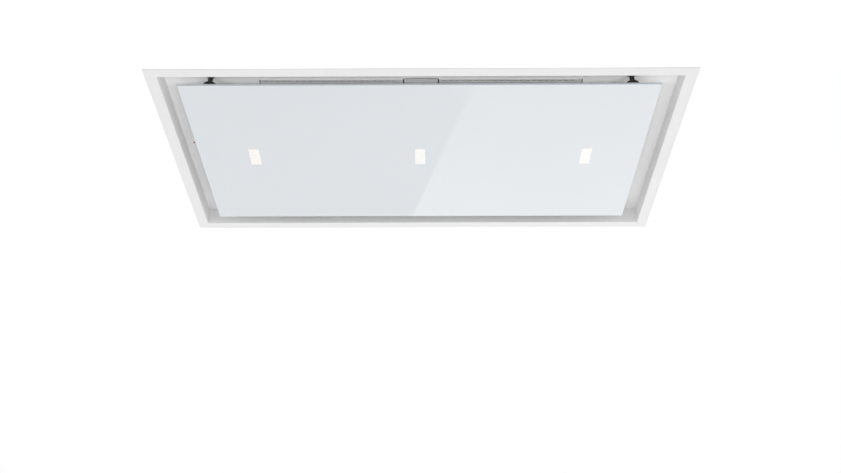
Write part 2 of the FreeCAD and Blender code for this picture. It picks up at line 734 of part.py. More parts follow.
# Motor: a round can on a three-arm bracket across the left inlet, with a bearing at each end of its shaft.
motor = new_body("MotorBody")
can_end = f"-{SCROLL_OUTER_X}"
motor_ring = ("bearing_radius + seat_clearance", "motor_radius")
revolve(motor, "motor_can", [rectangle((can_end, f"-{MOTOR_END}"), motor_ring)], axis="H_Axis")
node("motor_body", place(motor, "0", SHAFT_Y, SHAFT_Z))

bearings = new_body("BearingBody")
bearing_ring = ("shaft_radius + running_clearance", "bearing_radius")
far_bearing = above(f"({can_end} + bearing_inset)", "bearing_width")
near_bearing = below(f"(-{MOTOR_END} - bearing_inset)", "bearing_width")
revolve(bearings, "bearing_rings", [rectangle(far_bearing, bearing_ring), rectangle(near_bearing, bearing_ring)],
        axis="H_Axis")
node("motor_bearings", place(bearings, "0", SHAFT_Y, SHAFT_Z))

arms = [rod("arm_disc", "arm_disc_radius", "arm_sheet", f"{can_end} - arm_sheet", SHAFT_Y, SHAFT_Z, "x")]
for index, turn in enumerate(arm_turns):
    arm = doc.addObject("Part::Box", f"arm_{index}")
    arm.Placement.Rotation = FreeCAD.Rotation(FreeCAD.Vector(1, 0, 0), turn)
    bind(arm, "Length", "arm_sheet")
    bind(arm, "Width", f"{arm_bolt_reach} + arm_lap / 2")
    bind(arm, "Height", "arm_width")
    place(arm, f"{can_end} - arm_sheet", f"{SHAFT_Y} + arm_width / 2 * sin({turn})",
          f"{SHAFT_Z} - arm_width / 2 * cos({turn})")
    arms.append(arm)
bracket_holes = []
bracket_screws = []
for index, turn in enumerate(arm_turns):
    bracket_holes.append(rod(f"arm_hole_{index}", "screw_radius + hole_clearance", "3 * arm_sheet",
                             f"{can_end} - 2 * arm_sheet", *arm_points(turn), "x"))
    bracket_screws.append(join(f"arm_screw_{index}", [
        rod(f"arm_screw_head_{index}", "screw_head_radius", "screw_head_height",
            f"{can_end} - arm_sheet - screw_head_height", *arm_points(turn), "x"),
        rod(f"arm_screw_shank_{index}", "screw_radius", "arm_sheet + 2 * scroll_sheet",
            f"{can_end} - arm_sheet", *arm_points(turn), "x"),
    ]))
node("motor_bracket", cut("bracket_cut", join("bracket_weld", arms), bracket_holes))
node("bracket_screws", group("bracket_screw_set", bracket_screws))

node("motor_shaft", rod("shaft", "shaft_radius", f"{SCROLL_OUTER_X} + hub_length + seat_clearance",
                        f"{can_end} + shaft_inset", SHAFT_Y, SHAFT_Z, "x"))

# Wheel: two rims and a middle disc with its hub, joined by forward-leaning blades.
wheel = new_body("WheelBody")
rim = ("wheel_radius - wheel_rim", "wheel_radius")
half_wheel = "(wheel_width / 2)"
hub_bore = "shaft_radius + seat_clearance"
revolve(wheel, "wheel_rings", [
    rectangle((f"-{half_wheel}", f"wheel_sheet - {half_wheel}"), rim),
    rectangle((f"{half_wheel} - wheel_sheet", half_wheel), rim),
    [
        ("-wheel_sheet / 2", hub_bore),
        ("hub_length", hub_bore),
        ("hub_length", "hub_radius"),
        ("wheel_sheet / 2", "hub_radius"),
        ("wheel_sheet / 2", "wheel_radius"),
        ("-wheel_sheet / 2", "wheel_radius"),
    ],
], axis="H_Axis")
blade_root = "(wheel_radius - wheel_rim + blade_sheet)"
blade_tip = "(wheel_radius - blade_sheet)"
blade_sketch = new_sketch(wheel, "blade_outline", "YZ_Plane", f"-{half_wheel}")
add_loop(blade_sketch, [
    (blade_root, "-blade_sheet / 2"),
    (f"{blade_tip} * cos(blade_lean)", f"{blade_tip} * sin(blade_lean) - blade_sheet / 2"),
    (f"{blade_tip} * cos(blade_lean)", f"{blade_tip} * sin(blade_lean) + blade_sheet / 2"),
    (blade_root, "blade_sheet / 2"),
])
blade = pad(wheel, blade_sketch, "blade", "wheel_width")
blades = wheel.newObject("PartDesign::PolarPattern", "blades")
blades.Originals = [blade]
blades.Axis = (origin_feature(wheel, "X_Axis"), [""])
blades.Angle = 360
blades.Occurrences = BLADE_COUNT
wheel.Tip = blades
node("impeller_wheel", place(wheel, "0", SHAFT_Y, SHAFT_Z))

# Glass panel with three windows for the lamps.
panel_x = (f"panel_offset - {PANEL_X}", f"panel_offset + {PANEL_X}")
lamp_places = {"left": f"(panel_offset - {LAMP_PITCH})", "centre": "(panel_offset)",
               "right": f"(panel_offset + {LAMP_PITCH})"}
glass = new_body("GlassBody")
glass_loops = [rectangle(panel_x, both(PANEL_Y))]
for x in lamp_places.values():
    glass_loops.append(rectangle(around(x, "lens_width + 2 * lens_gap"),
                                 both("(lens_depth / 2 + lens_gap)")))
plate(glass, "glass_plate", glass_loops, GLASS_UNDER, "glass_thickness")
node("glass_panel", glass)

# Backing tray glued on the glass, folded up along its edges, with a window for each lamp.
backing = new_body("BackingBody")
backing_x = (f"{panel_x[0]} + backing_inset", f"{panel_x[1]} - backing_inset")
backing_y = (f"backing_front_inset - {PANEL_Y}", BACKING_BACK)
backing_outside = rectangle(backing_x, backing_y)
backing_inside = rectangle((f"{backing_x[0]} + backing_sheet", f"{backing_x[1]} - backing_sheet"),
                           (f"{backing_y[0]} + backing_sheet", f"{backing_y[1]} - backing_sheet"))
backing_loops = [backing_outside]
for x in lamp_places.values():
    backing_loops.append(rectangle(around(x, "lens_width - 2 * lens_seat"),
                                   both("(lens_depth / 2 - lens_seat)")))
plate(backing, "backing_floor", backing_loops, GLASS_TOP, "backing_sheet")
plate(backing, "backing_edges", [backing_outside, backing_inside], GLASS_TOP, "backing_upturn")
node("panel_backing", backing)

# Lamps: a lens flush in the glass, and a module on the backing tray above it.
for lamp_name, x in lamp_places.items():
    node(f"led_lens_{lamp_name}", block(f"lens_{lamp_name}", around(x, "lens_width"), both("(lens_depth / 2)"),
                                        (GLASS_UNDER, GLASS_TOP)))
    node(f"led_module_{lamp_name}", block(f"module_{lamp_name}", around(x, "lamp_width"),
                                          both("(lamp_depth / 2)"), above(BACKING_FLOOR, "lamp_height")))

# Panel hinge: a bracket with two ears under the tray, its pin, and a leaf welded to the backing tray.
for side_name, side in SIDES.items():
    hinge_x = f"{side} * {HINGE_X}"
    leaf_x = around(hinge_x, "barrel_length")
    barrel = rod(f"leaf_barrel_{side_name}", "barrel_radius", "barrel_length", leaf_x[0], HINGE_Y, HINGE_Z, "x")
    leaf = block(f"leaf_plate_{side_name}", leaf_x, (BACKING_BACK, HINGE_Y), below(HINGE_Z, "barrel_radius"))
    bore = rod(f"leaf_bore_{side_name}", "hinge_pin_radius + running_clearance", "barrel_length",
               leaf_x[0], HINGE_Y, HINGE_Z, "x")
    node(f"hinge_leaf_{side_name}", cut(f"leaf_cut_{side_name}", join(f"leaf_weld_{side_name}", [barrel, leaf]),
                                        [bore]))
    span = "(barrel_length / 2 + ear_gap)"
    bracket_parts = [block(f"bracket_base_{side_name}", around(hinge_x, f"2 * {span} + 2 * ear_sheet"),
                           around(HINGE_Y, "bracket_depth"), below(TRAY_UNDER, "bracket_sheet"))]
    for index, (low, high) in enumerate(((f"-{span} - ear_sheet", f"-{span}"), (span, f"{span} + ear_sheet"))):
        ear_x = (f"{hinge_x} + {low}", f"{hinge_x} + {high}")
        bracket_parts.append(block(f"ear_{side_name}_{index}", ear_x,
                                   around(HINGE_Y, "2 * barrel_radius"), (HINGE_Z, TRAY_UNDER)))
        bracket_parts.append(rod(f"ear_end_{side_name}_{index}", "barrel_radius", "ear_sheet",
                                 ear_x[0], HINGE_Y, HINGE_Z, "x"))
    pin_half = f"({span} + ear_sheet + pin_overhang)"
    seat = rod(f"bracket_seat_{side_name}", "hinge_pin_radius + seat_clearance", f"2 * {pin_half}",
               f"{hinge_x} - {pin_half}", HINGE_Y, HINGE_Z, "x")
    node(f"hinge_bracket_{side_name}", cut(f"bracket_seat_cut_{side_name}",
                                           join(f"bracket_weld_{side_name}", bracket_parts), [seat]))
    node(f"hinge_pin_{side_name}", rod(f"pin_{side_name}", "hinge_pin_radius", f"2 * {pin_half}",
                                       f"{hinge_x} - {pin_half}", HINGE_Y, HINGE_Z, "x"))

# Posts: each stands on the glass with a round foot, passes the tray and ends in a ball for the catch.
for side_name, side in SIDES.items():
    post_x = f"{side} * {POST_X}"
    foot_top = f"({GLASS_TOP} + post_foot_height)"
    cone_top = f"({foot_top} + post_cone_height)"
    neck_z = f"({TRAY_UNDER} + neck_start)"
    node(f"catch_post_{side_name}", join(f"post_{side_name}", [
        rod(f"post_foot_{side_name}", "post_foot_radius", "post_foot_height", post_x, POST_Y, GLASS_TOP),
        cone(f"post_cone_{side_name}", "post_foot_radius", "post_radius", "post_cone_height",
             post_x, POST_Y, foot_top),
        rod(f"post_stem_{side_name}", "post_radius", f"{neck_z} - {cone_top}", post_x, POST_Y, cone_top),
        rod(f"post_neck_{side_name}", "neck_radius", "neck_length + ball_radius", post_x, POST_Y, neck_z),
        ball(f"post_ball_{side_name}", "ball_radius", post_x, POST_Y, BALL_Z),
    ]))
    catch_z = above(TRAY_TOP, "catch_height")
    shell = block(f"catch_shell_{side_name}", around(post_x, "catch_size"), around(POST_Y, "catch_size"), catch_z)
    room = block(f"catch_room_{side_name}", around(post_x, "catch_size - 2 * catch_wall"),
                 around(POST_Y, "catch_size - 2 * catch_wall"), (TRAY_UNDER, f"{catch_z[1]} - catch_wall"))
    node(f"catch_housing_{side_name}", cut(f"catch_cut_{side_name}", shell, [room]))
    roof = f"({catch_z[1]} - catch_wall)"
    lip_top = f"({BALL_Z} - ball_radius - slide_gap)"
    leg_inner = "(ball_radius + clip_gap)"
    clip_y = around(POST_Y, "clip_width")
    clip_parts = [block(f"clip_bridge_{side_name}", around(post_x, f"2 * {leg_inner} + 2 * clip_sheet"), clip_y,
                        below(roof, "clip_sheet"))]
    for index, jaw in enumerate((-1, 1)):
        leg = outward(jaw, leg_inner, f"{leg_inner} + clip_sheet")
        hook = outward(jaw, f"{leg_inner} - clip_lip", leg_inner)
        clip_parts.append(block(f"clip_leg_{side_name}_{index}", (f"{post_x} + {leg[0]}", f"{post_x} + {leg[1]}"),
                                clip_y, (f"{lip_top} - clip_sheet", roof)))
        clip_parts.append(block(f"clip_lip_{side_name}_{index}", (f"{post_x} + {hook[0]}", f"{post_x} + {hook[1]}"),
                                clip_y, below(lip_top, "clip_sheet")))
    node(f"catch_clip_{side_name}", join(f"clip_{side_name}", clip_parts))

# Bridge between the filters: a strip lapped under the tray's edges, stiffened by two webs.
bridge_y = both(f"({BAY_Y} + bridge_lap)")
bridge_parts = [block("bridge_strip", both("(bridge_width / 2)"), bridge_y, below(TRAY_UNDER, "bridge_sheet"))]
for side_name, side in SIDES.items():
    web_x = outward(side, "bridge_channel / 2 - bridge_sheet", "bridge_channel / 2")
    bridge_parts.append(block(f"bridge_web_{side_name}", web_x, both(f"({BAY_Y} - filter_side_gap)"),
                              above(f"({TRAY_UNDER} - bridge_sheet)", "bridge_web")))
node("filter_bridge", join("bridge_weld", bridge_parts))

# Filters: an aluminium frame with rows of drain slots, held by lips over the tray and tongues over the bridge.
# A filter shifts towards the bridge, against its leaf springs, until its lips leave the tray.
FILTER_LENGTH = f"({FILTER_OUTER} - {FILTER_INNER})"
for side_name, side in SIDES.items():
    rim_body = new_body(f"FilterBody_{side_name}")
    filter_x = outward(side, FILTER_INNER, FILTER_OUTER)
    window_x = (f"{filter_x[0]} + filter_border", f"{filter_x[1]} - filter_border")
    window_y = both(f"({FILTER_Y} - filter_border)")
    plate(rim_body, f"filter_rim_{side_name}", [rectangle(filter_x, both(FILTER_Y)), rectangle(window_x, window_y)],
          TRAY_UNDER, "filter_thickness")
    slot_sketch = new_sketch(rim_body, f"slot_outline_{side_name}", "XY_Plane", TRAY_UNDER)
    for end in (-1, 1):
        slot_y = outward(end, f"{FILTER_Y} - slot_inset - slot_width / 2",
                         f"{FILTER_Y} - slot_inset + slot_width / 2")
        slot_x = f"{filter_x[0]} + slot_pitch / 2"
        add_loop(slot_sketch, rectangle(above(slot_x, "slot_length"), slot_y))
    slot = rim_body.newObject("PartDesign::Pocket", f"slot_{side_name}")
    slot.Profile = slot_sketch
    slot.Reversed = True
    bind(slot, "Length", "slot_depth")
    rim_body.Tip = slot
    slots = rim_body.newObject("PartDesign::LinearPattern", f"slots_{side_name}")
    slots.Originals = [slot]
    slots.Direction = (origin_feature(rim_body, "X_Axis"), [""])
    slot_count = f"floor(({FILTER_LENGTH} - slot_length) / slot_pitch)"
    bind(slots, "Occurrences", slot_count)
    bind(slots, "Length", f"({slot_count} - 1) * slot_pitch")
    rim_body.Tip = slots
    holders = [rim_body]
    for end_name, end in (("front", -1), ("back", 1)):
        lip_y = around(f"{end} * ({FILTER_Y} - filter_border - filter_lip_width / 2)", "filter_lip_width")
        lip_reach = f"{FILTER_OUTER} + filter_end_gap + filter_lip"
        holders.append(block(f"filter_lip_{side_name}_{end_name}",
                             outward(side, f"{FILTER_OUTER} - filter_border / 2", lip_reach), lip_y,
                             above(f"({TRAY_TOP} + slide_gap)", "tongue_sheet")))
        holders.append(block(f"filter_tongue_{side_name}_{end_name}",
                             outward(side, f"{FILTER_INNER} - tongue_reach", f"{FILTER_INNER} + filter_border / 2"),
                             lip_y, above(f"({TRAY_UNDER} + slide_gap)", "tongue_sheet")))
    node(f"filter_frame_{side_name}", join(f"filter_weld_{side_name}", holders))
    mesh_x = (f"{window_x[0]} + mesh_gap", f"{window_x[1]} - mesh_gap")
    mesh_z = around(f"({TRAY_UNDER} + filter_thickness / 2)", "mesh_thickness")
    node(f"filter_mesh_{side_name}", block(f"mesh_{side_name}", mesh_x,
                                           both(f"({FILTER_Y} - filter_border - mesh_gap)"), mesh_z))
    springs = []
    for end_name, end in (("front", -1), ("back", 1)):
        spring = new_body(f"SpringBody_{side_name}_{end_name}")
        start = f"{side} * ({FILTER_INNER})"
        crest = f"{side} * (bridge_channel / 2 + slide_gap)"
        inner_crest = f"{side} * (bridge_channel / 2 + slide_gap + spring_sheet)"
        middle = f"({end} * spring_place)"
        plate(spring, f"spring_{side_name}_{end_name}", [[
            (start, f"{middle} - spring_half_length"),
            (crest, middle),
            (start, f"{middle} + spring_half_length"),
            (start, f"{middle} + spring_half_length - 2 * spring_sheet"),
            (inner_crest, middle),
            (start, f"{middle} - spring_half_length + 2 * spring_sheet"),
        ]], f"{TRAY_UNDER} + spring_rise", "spring_width")
        springs.append(spring)
    node(f"filter_springs_{side_name}", group(f"spring_pair_{side_name}", springs))

# Remote receiver: a red lens through the tray with a light ring round it.
node("remote_receiver", join("receiver_weld", [
    rod("receiver_lens", "receiver_radius", f"{TRAY_TOP} - {TRAY_UNDER} + receiver_drop",
        RECEIVER_X, "receiver_place", f"{TRAY_UNDER} - receiver_drop"),
    block("receiver_block", around(RECEIVER_X, "receiver_body"), around("receiver_place", "receiver_body"),
          above(TRAY_TOP, "receiver_height")),
]))
bezel = rod("bezel_disc", "bezel_radius", "bezel_drop", RECEIVER_X, "receiver_place",
            f"{TRAY_UNDER} - bezel_drop")
bezel_hole = rod("bezel_hole", "receiver_radius + hole_clearance", "bezel_drop", RECEIVER_X, "receiver_place",
                 f"{TRAY_UNDER} - bezel_drop")
node("receiver_bezel", cut("bezel_cut", bezel, [bezel_hole]))

# Control box on the tray: base with standoffs, lid, board, mains terminal block and motor capacitor.
control_y = both("(control_depth / 2)")
control_x = above(CONTROL_X, "control_width")
control_top = f"({TRAY_TOP} + control_height)"
box_outside = block("control_outside", control_x, control_y, (TRAY_TOP, control_top))
box_inside = block("control_inside", (f"{control_x[0]} + control_sheet", f"{control_x[1]} - control_sheet"),
                   both("(control_depth / 2 - control_sheet)"), (CONTROL_FLOOR, control_top))
base_parts = [cut("control_shell", box_outside, [box_inside])]
for index, (turn_x, turn_y) in enumerate(((-1, -1), (1, -1), (1, 1), (-1, 1))):
    base_parts.append(rod(f"standoff_{index}", "standoff_radius", "board_rise",
                          f"{CONTROL_MIDDLE} + {turn_x} * (board_width / 2 - standoff_inset)",
                          f"board_place + {turn_y} * (board_depth / 2 - standoff_inset)", CONTROL_FLOOR))
node("control_box_base", join("control_base_weld", base_parts))
lid_gap = "(control_sheet + hole_clearance)"
lid_parts = [block("lid_plate", (f"{control_x[0]} - {lid_gap}", f"{control_x[1]} + {lid_gap}"), control_y,
                   above(control_top, "control_sheet"))]
for side_name, x in (("left", below(f"({control_x[0]} - hole_clearance)", "control_sheet")),
                     ("right", above(f"({control_x[1]} + hole_clearance)", "control_sheet"))):
    lid_parts.append(block(f"lid_skirt_{side_name}", x, control_y,
                           (f"{control_top} - control_lip", f"{control_top} + control_sheet")))
node("control_box_lid", join("lid_weld", lid_parts))
node("control_board", block("board", around(CONTROL_MIDDLE, "board_width"),
                            around("board_place", "board_depth"),
                            above(f"({CONTROL_FLOOR} + board_rise)", "board_sheet")))
node("terminal_block", block("terminals", around(CONTROL_MIDDLE, "terminal_width"),
                             around("terminal_place", "terminal_depth"), above(CONTROL_FLOOR, "terminal_height")))
node("motor_capacitor", rod("capacitor", "capacitor_radius", "capacitor_length",
                            f"{CONTROL_MIDDLE} - capacitor_length / 2", "capacitor_place",
                            f"{CONTROL_FLOOR} + capacitor_radius", "x"))

# Cable gland in the top plate, for the mains lead.
gland = new_body("GlandBody")
gland_top = f"{TOP_PLATE_TOP} + gland_flange"
revolve(gland, "gland_turn", [[
    ("gland_bore", f"{TOP_PLATE_UNDER} - gland_tail"),
    ("gland_thread_radius", f"{TOP_PLATE_UNDER} - gland_tail"),
    ("gland_thread_radius", TOP_PLATE_TOP),
    ("gland_flange_radius", TOP_PLATE_TOP),
    ("gland_flange_radius", gland_top),
    ("gland_thread_radius", f"{gland_top} + gland_dome"),
    ("gland_bore", f"{gland_top} + gland_dome"),
]])
node("cable_gland", place(gland, GLAND_X, "gland_place", "0"))

HOLLOW_SHARE = 0.2
doc.recompute()
faults = [thing.Label for thing in doc.Objects if "Invalid" in thing.State or "Error" in thing.State]
for thing in nodes:
    if thing.Shape.isNull() or not thing.Shape.isValid() or not thing.Shape.Solids:
        faults.append(f"{thing.Label} has no valid solid")
if wrap.Shape.Volume > HOLLOW_SHARE * doc.getObject("wrap_pad").Shape.Volume:
    faults.append("the scroll wrap is not hollow")
for side_name in SIDES:
    plain_rim = doc.getObject(f"filter_rim_{side_name}").Shape.Volume
    slotted_rim = doc.getObject(f"slots_{side_name}").Shape.Volume
    if slotted_rim >= plain_rim:
        faults.append(f"the {side_name} filter has no slots")
if faults:
    raise RuntimeError("; ".join(faults))

os.makedirs("parts", exist_ok=True)
for thing in nodes:
    thing.Shape.exportStep(f"parts/{thing.Label}.step")
    print(thing.Label, len(thing.Shape.Solids), round(thing.Shape.Volume))
print(len(nodes), "nodes")
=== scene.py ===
import math

import bpy
import numpy as np
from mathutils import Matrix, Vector


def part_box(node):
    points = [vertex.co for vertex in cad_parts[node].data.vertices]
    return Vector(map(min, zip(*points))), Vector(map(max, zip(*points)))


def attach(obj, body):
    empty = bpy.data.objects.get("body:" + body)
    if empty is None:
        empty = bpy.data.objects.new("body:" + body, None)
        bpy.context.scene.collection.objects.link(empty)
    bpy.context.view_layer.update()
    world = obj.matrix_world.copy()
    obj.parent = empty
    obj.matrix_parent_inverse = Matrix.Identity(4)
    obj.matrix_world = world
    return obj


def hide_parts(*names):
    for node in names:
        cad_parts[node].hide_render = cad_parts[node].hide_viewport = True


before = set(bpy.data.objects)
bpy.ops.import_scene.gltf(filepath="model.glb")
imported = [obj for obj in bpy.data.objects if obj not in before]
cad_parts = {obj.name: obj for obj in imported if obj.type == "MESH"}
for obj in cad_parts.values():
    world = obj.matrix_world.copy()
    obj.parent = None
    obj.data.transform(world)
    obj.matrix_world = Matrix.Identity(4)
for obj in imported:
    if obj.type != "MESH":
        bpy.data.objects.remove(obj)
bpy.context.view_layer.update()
MM = 0.001

# ---------------------------------------------------------------- Studio
# A pale floor well below the hood, an even white sky, a piece of plasterboard ceiling with the cut-out
# that the hood hangs in, and a soft card whose straight edge shows as a reflection on the glass. The
# camera looks up from the front.
space = bpy.context.scene
space.view_settings.view_transform = "Standard"


def add_nodes(tree, *kinds):
    """New nodes of a node tree, one for each kind named."""
    return [tree.nodes.new(kind) for kind in kinds]


def mesh_piece(name, points, faces, crease=32):
    """New object, shaded smooth where faces meet under the crease angle in degrees.

    A face is a row of corner numbers, and the rows of a list may differ in length.
    """
    mesh = bpy.data.meshes.new(name)
    rows = faces.tolist() if isinstance(faces, np.ndarray) else faces
    mesh.from_pydata(np.asarray(points, float).tolist(), [], rows)
    mesh.polygons.foreach_set("use_smooth", np.ones(len(mesh.polygons), bool))
    mesh.set_sharp_from_angle(angle=math.radians(crease))
    mesh.update()
    piece = bpy.data.objects.new(name, mesh)
    space.collection.objects.link(piece)
    return piece


sky = bpy.data.worlds.new("studio_sky")
sky.use_nodes = True
space.world = sky
lit, seen, blend, path = add_nodes(sky.node_tree, "ShaderNodeBackground", "ShaderNodeBackground",
                                   "ShaderNodeMixShader", "ShaderNodeLightPath")
lit.inputs["Color"].default_value = (1.0, 1.0, 1.0, 1.0)
lit.inputs["Strength"].default_value = 1.0
seen.inputs["Color"].default_value = (1.0, 1.0, 1.0, 1.0)
seen.inputs["Strength"].default_value = 1.0
sky.node_tree.links.new(path.outputs["Is Camera Ray"], blend.inputs["Fac"])
sky.node_tree.links.new(lit.outputs["Background"], blend.inputs[1])
sky.node_tree.links.new(seen.outputs["Background"], blend.inputs[2])
sky.node_tree.links.new(blend.outputs["Shader"], sky.node_tree.nodes["World Output"].inputs["Surface"])


def flat_paint(name, colour, glow=0.0):
    """Plain matt paint for the studio, with a glow that lifts it to white."""
    paint = bpy.data.materials.new(name)
    paint.use_nodes = True
    shader = paint.node_tree.nodes["Principled BSDF"]
    shader.inputs["Base Color"].default_value = (*colour, 1.0)
    shader.inputs["Roughness"].default_value = 0.9
    shader.inputs["Emission Color"].default_value = (1.0, 1.0, 1.0, 1.0)
    shader.inputs["Emission Strength"].default_value = glow
    return paint


FLOOR_Z = -2.60
FLOOR_REACH = 4.5
floor_points = [(-FLOOR_REACH, -FLOOR_REACH, FLOOR_Z), (FLOOR_REACH, -FLOOR_REACH, FLOOR_Z),
                (FLOOR_REACH, FLOOR_REACH, FLOOR_Z), (-FLOOR_REACH, FLOOR_REACH, FLOOR_Z)]
floor = mesh_piece("floor", floor_points, [(0, 1, 2, 3)])
floor.data.materials.append(flat_paint("pale_floor", (0.82, 0.82, 0.82)))

CARD_Z = -1.90
CARD_GLOW = 1.6
CARD_NEAR, CARD_FAR = 1.70, 3.60
CARD_SIDE = 1.60
CARD_EDGE_NEAR, CARD_EDGE_FAR = 0.291, -0.178
card_points = [(CARD_EDGE_NEAR, CARD_NEAR, CARD_Z), (CARD_SIDE, CARD_NEAR, CARD_Z),
               (CARD_SIDE, CARD_FAR, CARD_Z), (CARD_EDGE_FAR, CARD_FAR, CARD_Z)]
card = mesh_piece("reflection_card", card_points, [(0, 1, 2, 3)])
card.data.materials.append(flat_paint("card_glow", (0.0, 0.0, 0.0), CARD_GLOW))
card.visible_camera = False


def soft_light(name, place, aim, width, height, watts):
    """Soft box of a width and a height at a place, turned towards an aim."""
    lamp = bpy.data.objects.new(name, bpy.data.lights.new(name, "AREA"))
    space.collection.objects.link(lamp)
    lamp.location = place
    lamp.rotation_euler = (Vector(aim) - Vector(place)).to_track_quat("-Z", "Y").to_euler()
    lamp.data.shape = "RECTANGLE"
    lamp.data.size = width
    lamp.data.size_y = height
    lamp.data.energy = watts
    return lamp


recess_pieces = bpy.data.collections.new("recess_pieces")
FILL_Y, FILL_Z = -2.42, -1.82
FILL_AIM = (0.0, -0.26, -0.22)
FILL_HEIGHT = 0.30
for name, across, width, watts in (("fill_middle", 0.0, 1.2, 26.0), ("fill_left", -2.5, 0.6, 32.0),
                                   ("fill_right", 2.5, 0.6, 34.0)):
    fill = soft_light(name, (across, FILL_Y, FILL_Z), FILL_AIM, width, FILL_HEIGHT, watts)
    fill.light_linking.receiver_collection = recess_pieces


def light_in_recess(*things):
    """Lets the recess lights fall on these pieces."""
    for thing in things:
        recess_pieces.objects.link(thing)


CAMERA_PLACE = (0.0136, -2.2871, -1.7312)
CAMERA_PITCH = 0.5001
CAMERA_ROLL = -0.00076
CAMERA_YAW = 0.00662
SENSOR = 36.0
FOCAL_SHARE = 1.3325
camera = bpy.data.objects.new("camera", bpy.data.cameras.new("camera"))
space.collection.objects.link(camera)
camera.location = CAMERA_PLACE
camera.rotation_euler = (math.pi / 2 + CAMERA_PITCH, CAMERA_ROLL, CAMERA_YAW)
camera.data.sensor_width = SENSOR
camera.data.lens = SENSOR * FOCAL_SHARE
camera.data.clip_start = 0.05
camera.data.clip_end = 60.0
space.camera = camera

# ---------------------------------------------------------------- Ceiling frame
# A steel sheet folded into a flat flange and the four walls of the recess, mitred and welded at the
# corners and powder coated white. The flange's rim is eased and the fold into the recess is a small round
# bend. A low seat beside the walls carries the housing.
flange_low, flange_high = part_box("ceiling_frame")
tray_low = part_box("recess_tray")[0]
FLANGE_WIDTH = 27 * MM
FLANGE_SHEET = 1.5 * MM
WALL_SHEET = 1.5 * MM
opening_half = np.array([flange_high.x - FLANGE_WIDTH, flange_high.y - FLANGE_WIDTH])


def arc(centre, radius, start, end, steps=6):
    """Points on a circle about a centre, from a start to an end angle in degrees."""
    turns = np.radians(np.linspace(start, end, steps))
    return np.column_stack([centre[0] + radius * np.cos(turns), centre[1] + radius * np.sin(turns)])


def riding_piece(name, points, faces, body, crease=32):
    """New piece that rides a body."""
    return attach(mesh_piece(name, points, faces, crease), body)


def swept_ring(name, profile, half, centre=(0.0, 0.0), body="housing"):
    """Closed profile of (outward, height) points carried round a rectangle.

    x = +-(half x + outward) and y = +-(half y + outward), about the centre.
    """
    profile = np.vstack(profile)
    signs = np.array([(-1, -1), (1, -1), (1, 1), (-1, 1)])
    count = len(profile)
    flat = signs[:, None, :] * (np.asarray(half)[None, None, :] + profile[None, :, :1]) + np.asarray(centre)
    heights = np.broadcast_to(profile[None, :, 1:], (4, count, 1))
    points = np.concatenate([flat, heights], axis=2).reshape(-1, 3)
    corner, step = np.meshgrid(np.arange(4), np.arange(count), indexing="ij")
    after, along = (corner + 1) % 4, (step + 1) % count
    quads = [corner * count + step, after * count + step, after * count + along, corner * count + along]
    faces = np.stack(quads, axis=2).reshape(-1, 4)
    return riding_piece(name, points, faces, body)


def noise_layer(tree, scale, stretch=(1.0, 1.0, 1.0), detail=4.0, roughness=0.55):
    """Noise on the object's own coordinates, drawn out along its axes by a stretch."""
    place, mapping, noise = add_nodes(tree, "ShaderNodeTexCoord", "ShaderNodeMapping", "ShaderNodeTexNoise")
    mapping.inputs["Scale"].default_value = stretch
    noise.inputs["Scale"].default_value = scale
    noise.inputs["Detail"].default_value = detail
    noise.inputs["Roughness"].default_value = roughness
    tree.links.new(place.outputs["Object"], mapping.inputs["Vector"])
    tree.links.new(mapping.outputs["Vector"], noise.inputs["Vector"])
    return noise.outputs["Fac"]


def spread(tree, value, low, high):
    """Maps a value that runs from about 0.3 to 0.7 onto a low and a high number."""
    mapped = tree.nodes.new("ShaderNodeMapRange")
    mapped.inputs["From Min"].default_value = 0.3
    mapped.inputs["From Max"].default_value = 0.7
    mapped.inputs["To Min"].default_value = low
    mapped.inputs["To Max"].default_value = high
    tree.links.new(value, mapped.inputs["Value"])
    return mapped.outputs["Result"]


def tint(tree, value, first, second):
    """Colour that goes from a first to a second as a value goes from about 0.3 to 0.7."""
    ramp = tree.nodes.new("ShaderNodeValToRGB")
    ramp.color_ramp.elements[0].position = 0.3
    ramp.color_ramp.elements[0].color = (*first, 1.0)
    ramp.color_ramp.elements[1].position = 0.7
    ramp.color_ramp.elements[1].color = (*second, 1.0)
    tree.links.new(value, ramp.inputs["Fac"])
    return ramp.outputs["Color"]


def relief(tree, shader, value, strength, depth):
    """Bump of a value on a shader's normal."""
    bump = tree.nodes.new("ShaderNodeBump")
    bump.inputs["Strength"].default_value = strength
    bump.inputs["Distance"].default_value = depth
    tree.links.new(value, bump.inputs["Height"])
    tree.links.new(bump.outputs["Normal"], shader.inputs["Normal"])


def new_finish(name, metallic=0.0, coat=0.0, specular=0.5):
    """Empty principled material with its even values set, and its node tree and shader."""
    finish = bpy.data.materials.new(name)
    finish.use_nodes = True
    shader = finish.node_tree.nodes["Principled BSDF"]
    shader.inputs["Metallic"].default_value = metallic
    shader.inputs["Coat Weight"].default_value = coat
    shader.inputs["Specular IOR Level"].default_value = specular
    return finish, finish.node_tree, shader


def powder_coat(name, light, dark, gloss=0.42):
    """Baked powder coat: fine orange peel, faint clouding of its colour and sheen."""
    finish, tree, shader = new_finish(name)
    clouds = noise_layer(tree, 9.0, detail=3.0)
    peel = noise_layer(tree, 900.0, detail=2.0)
    tree.links.new(tint(tree, clouds, dark, light), shader.inputs["Base Color"])
    tree.links.new(spread(tree, peel, gloss - 0.05, gloss + 0.07), shader.inputs["Roughness"])
    relief(tree, shader, peel, 0.16, 0.0003)
    return finish


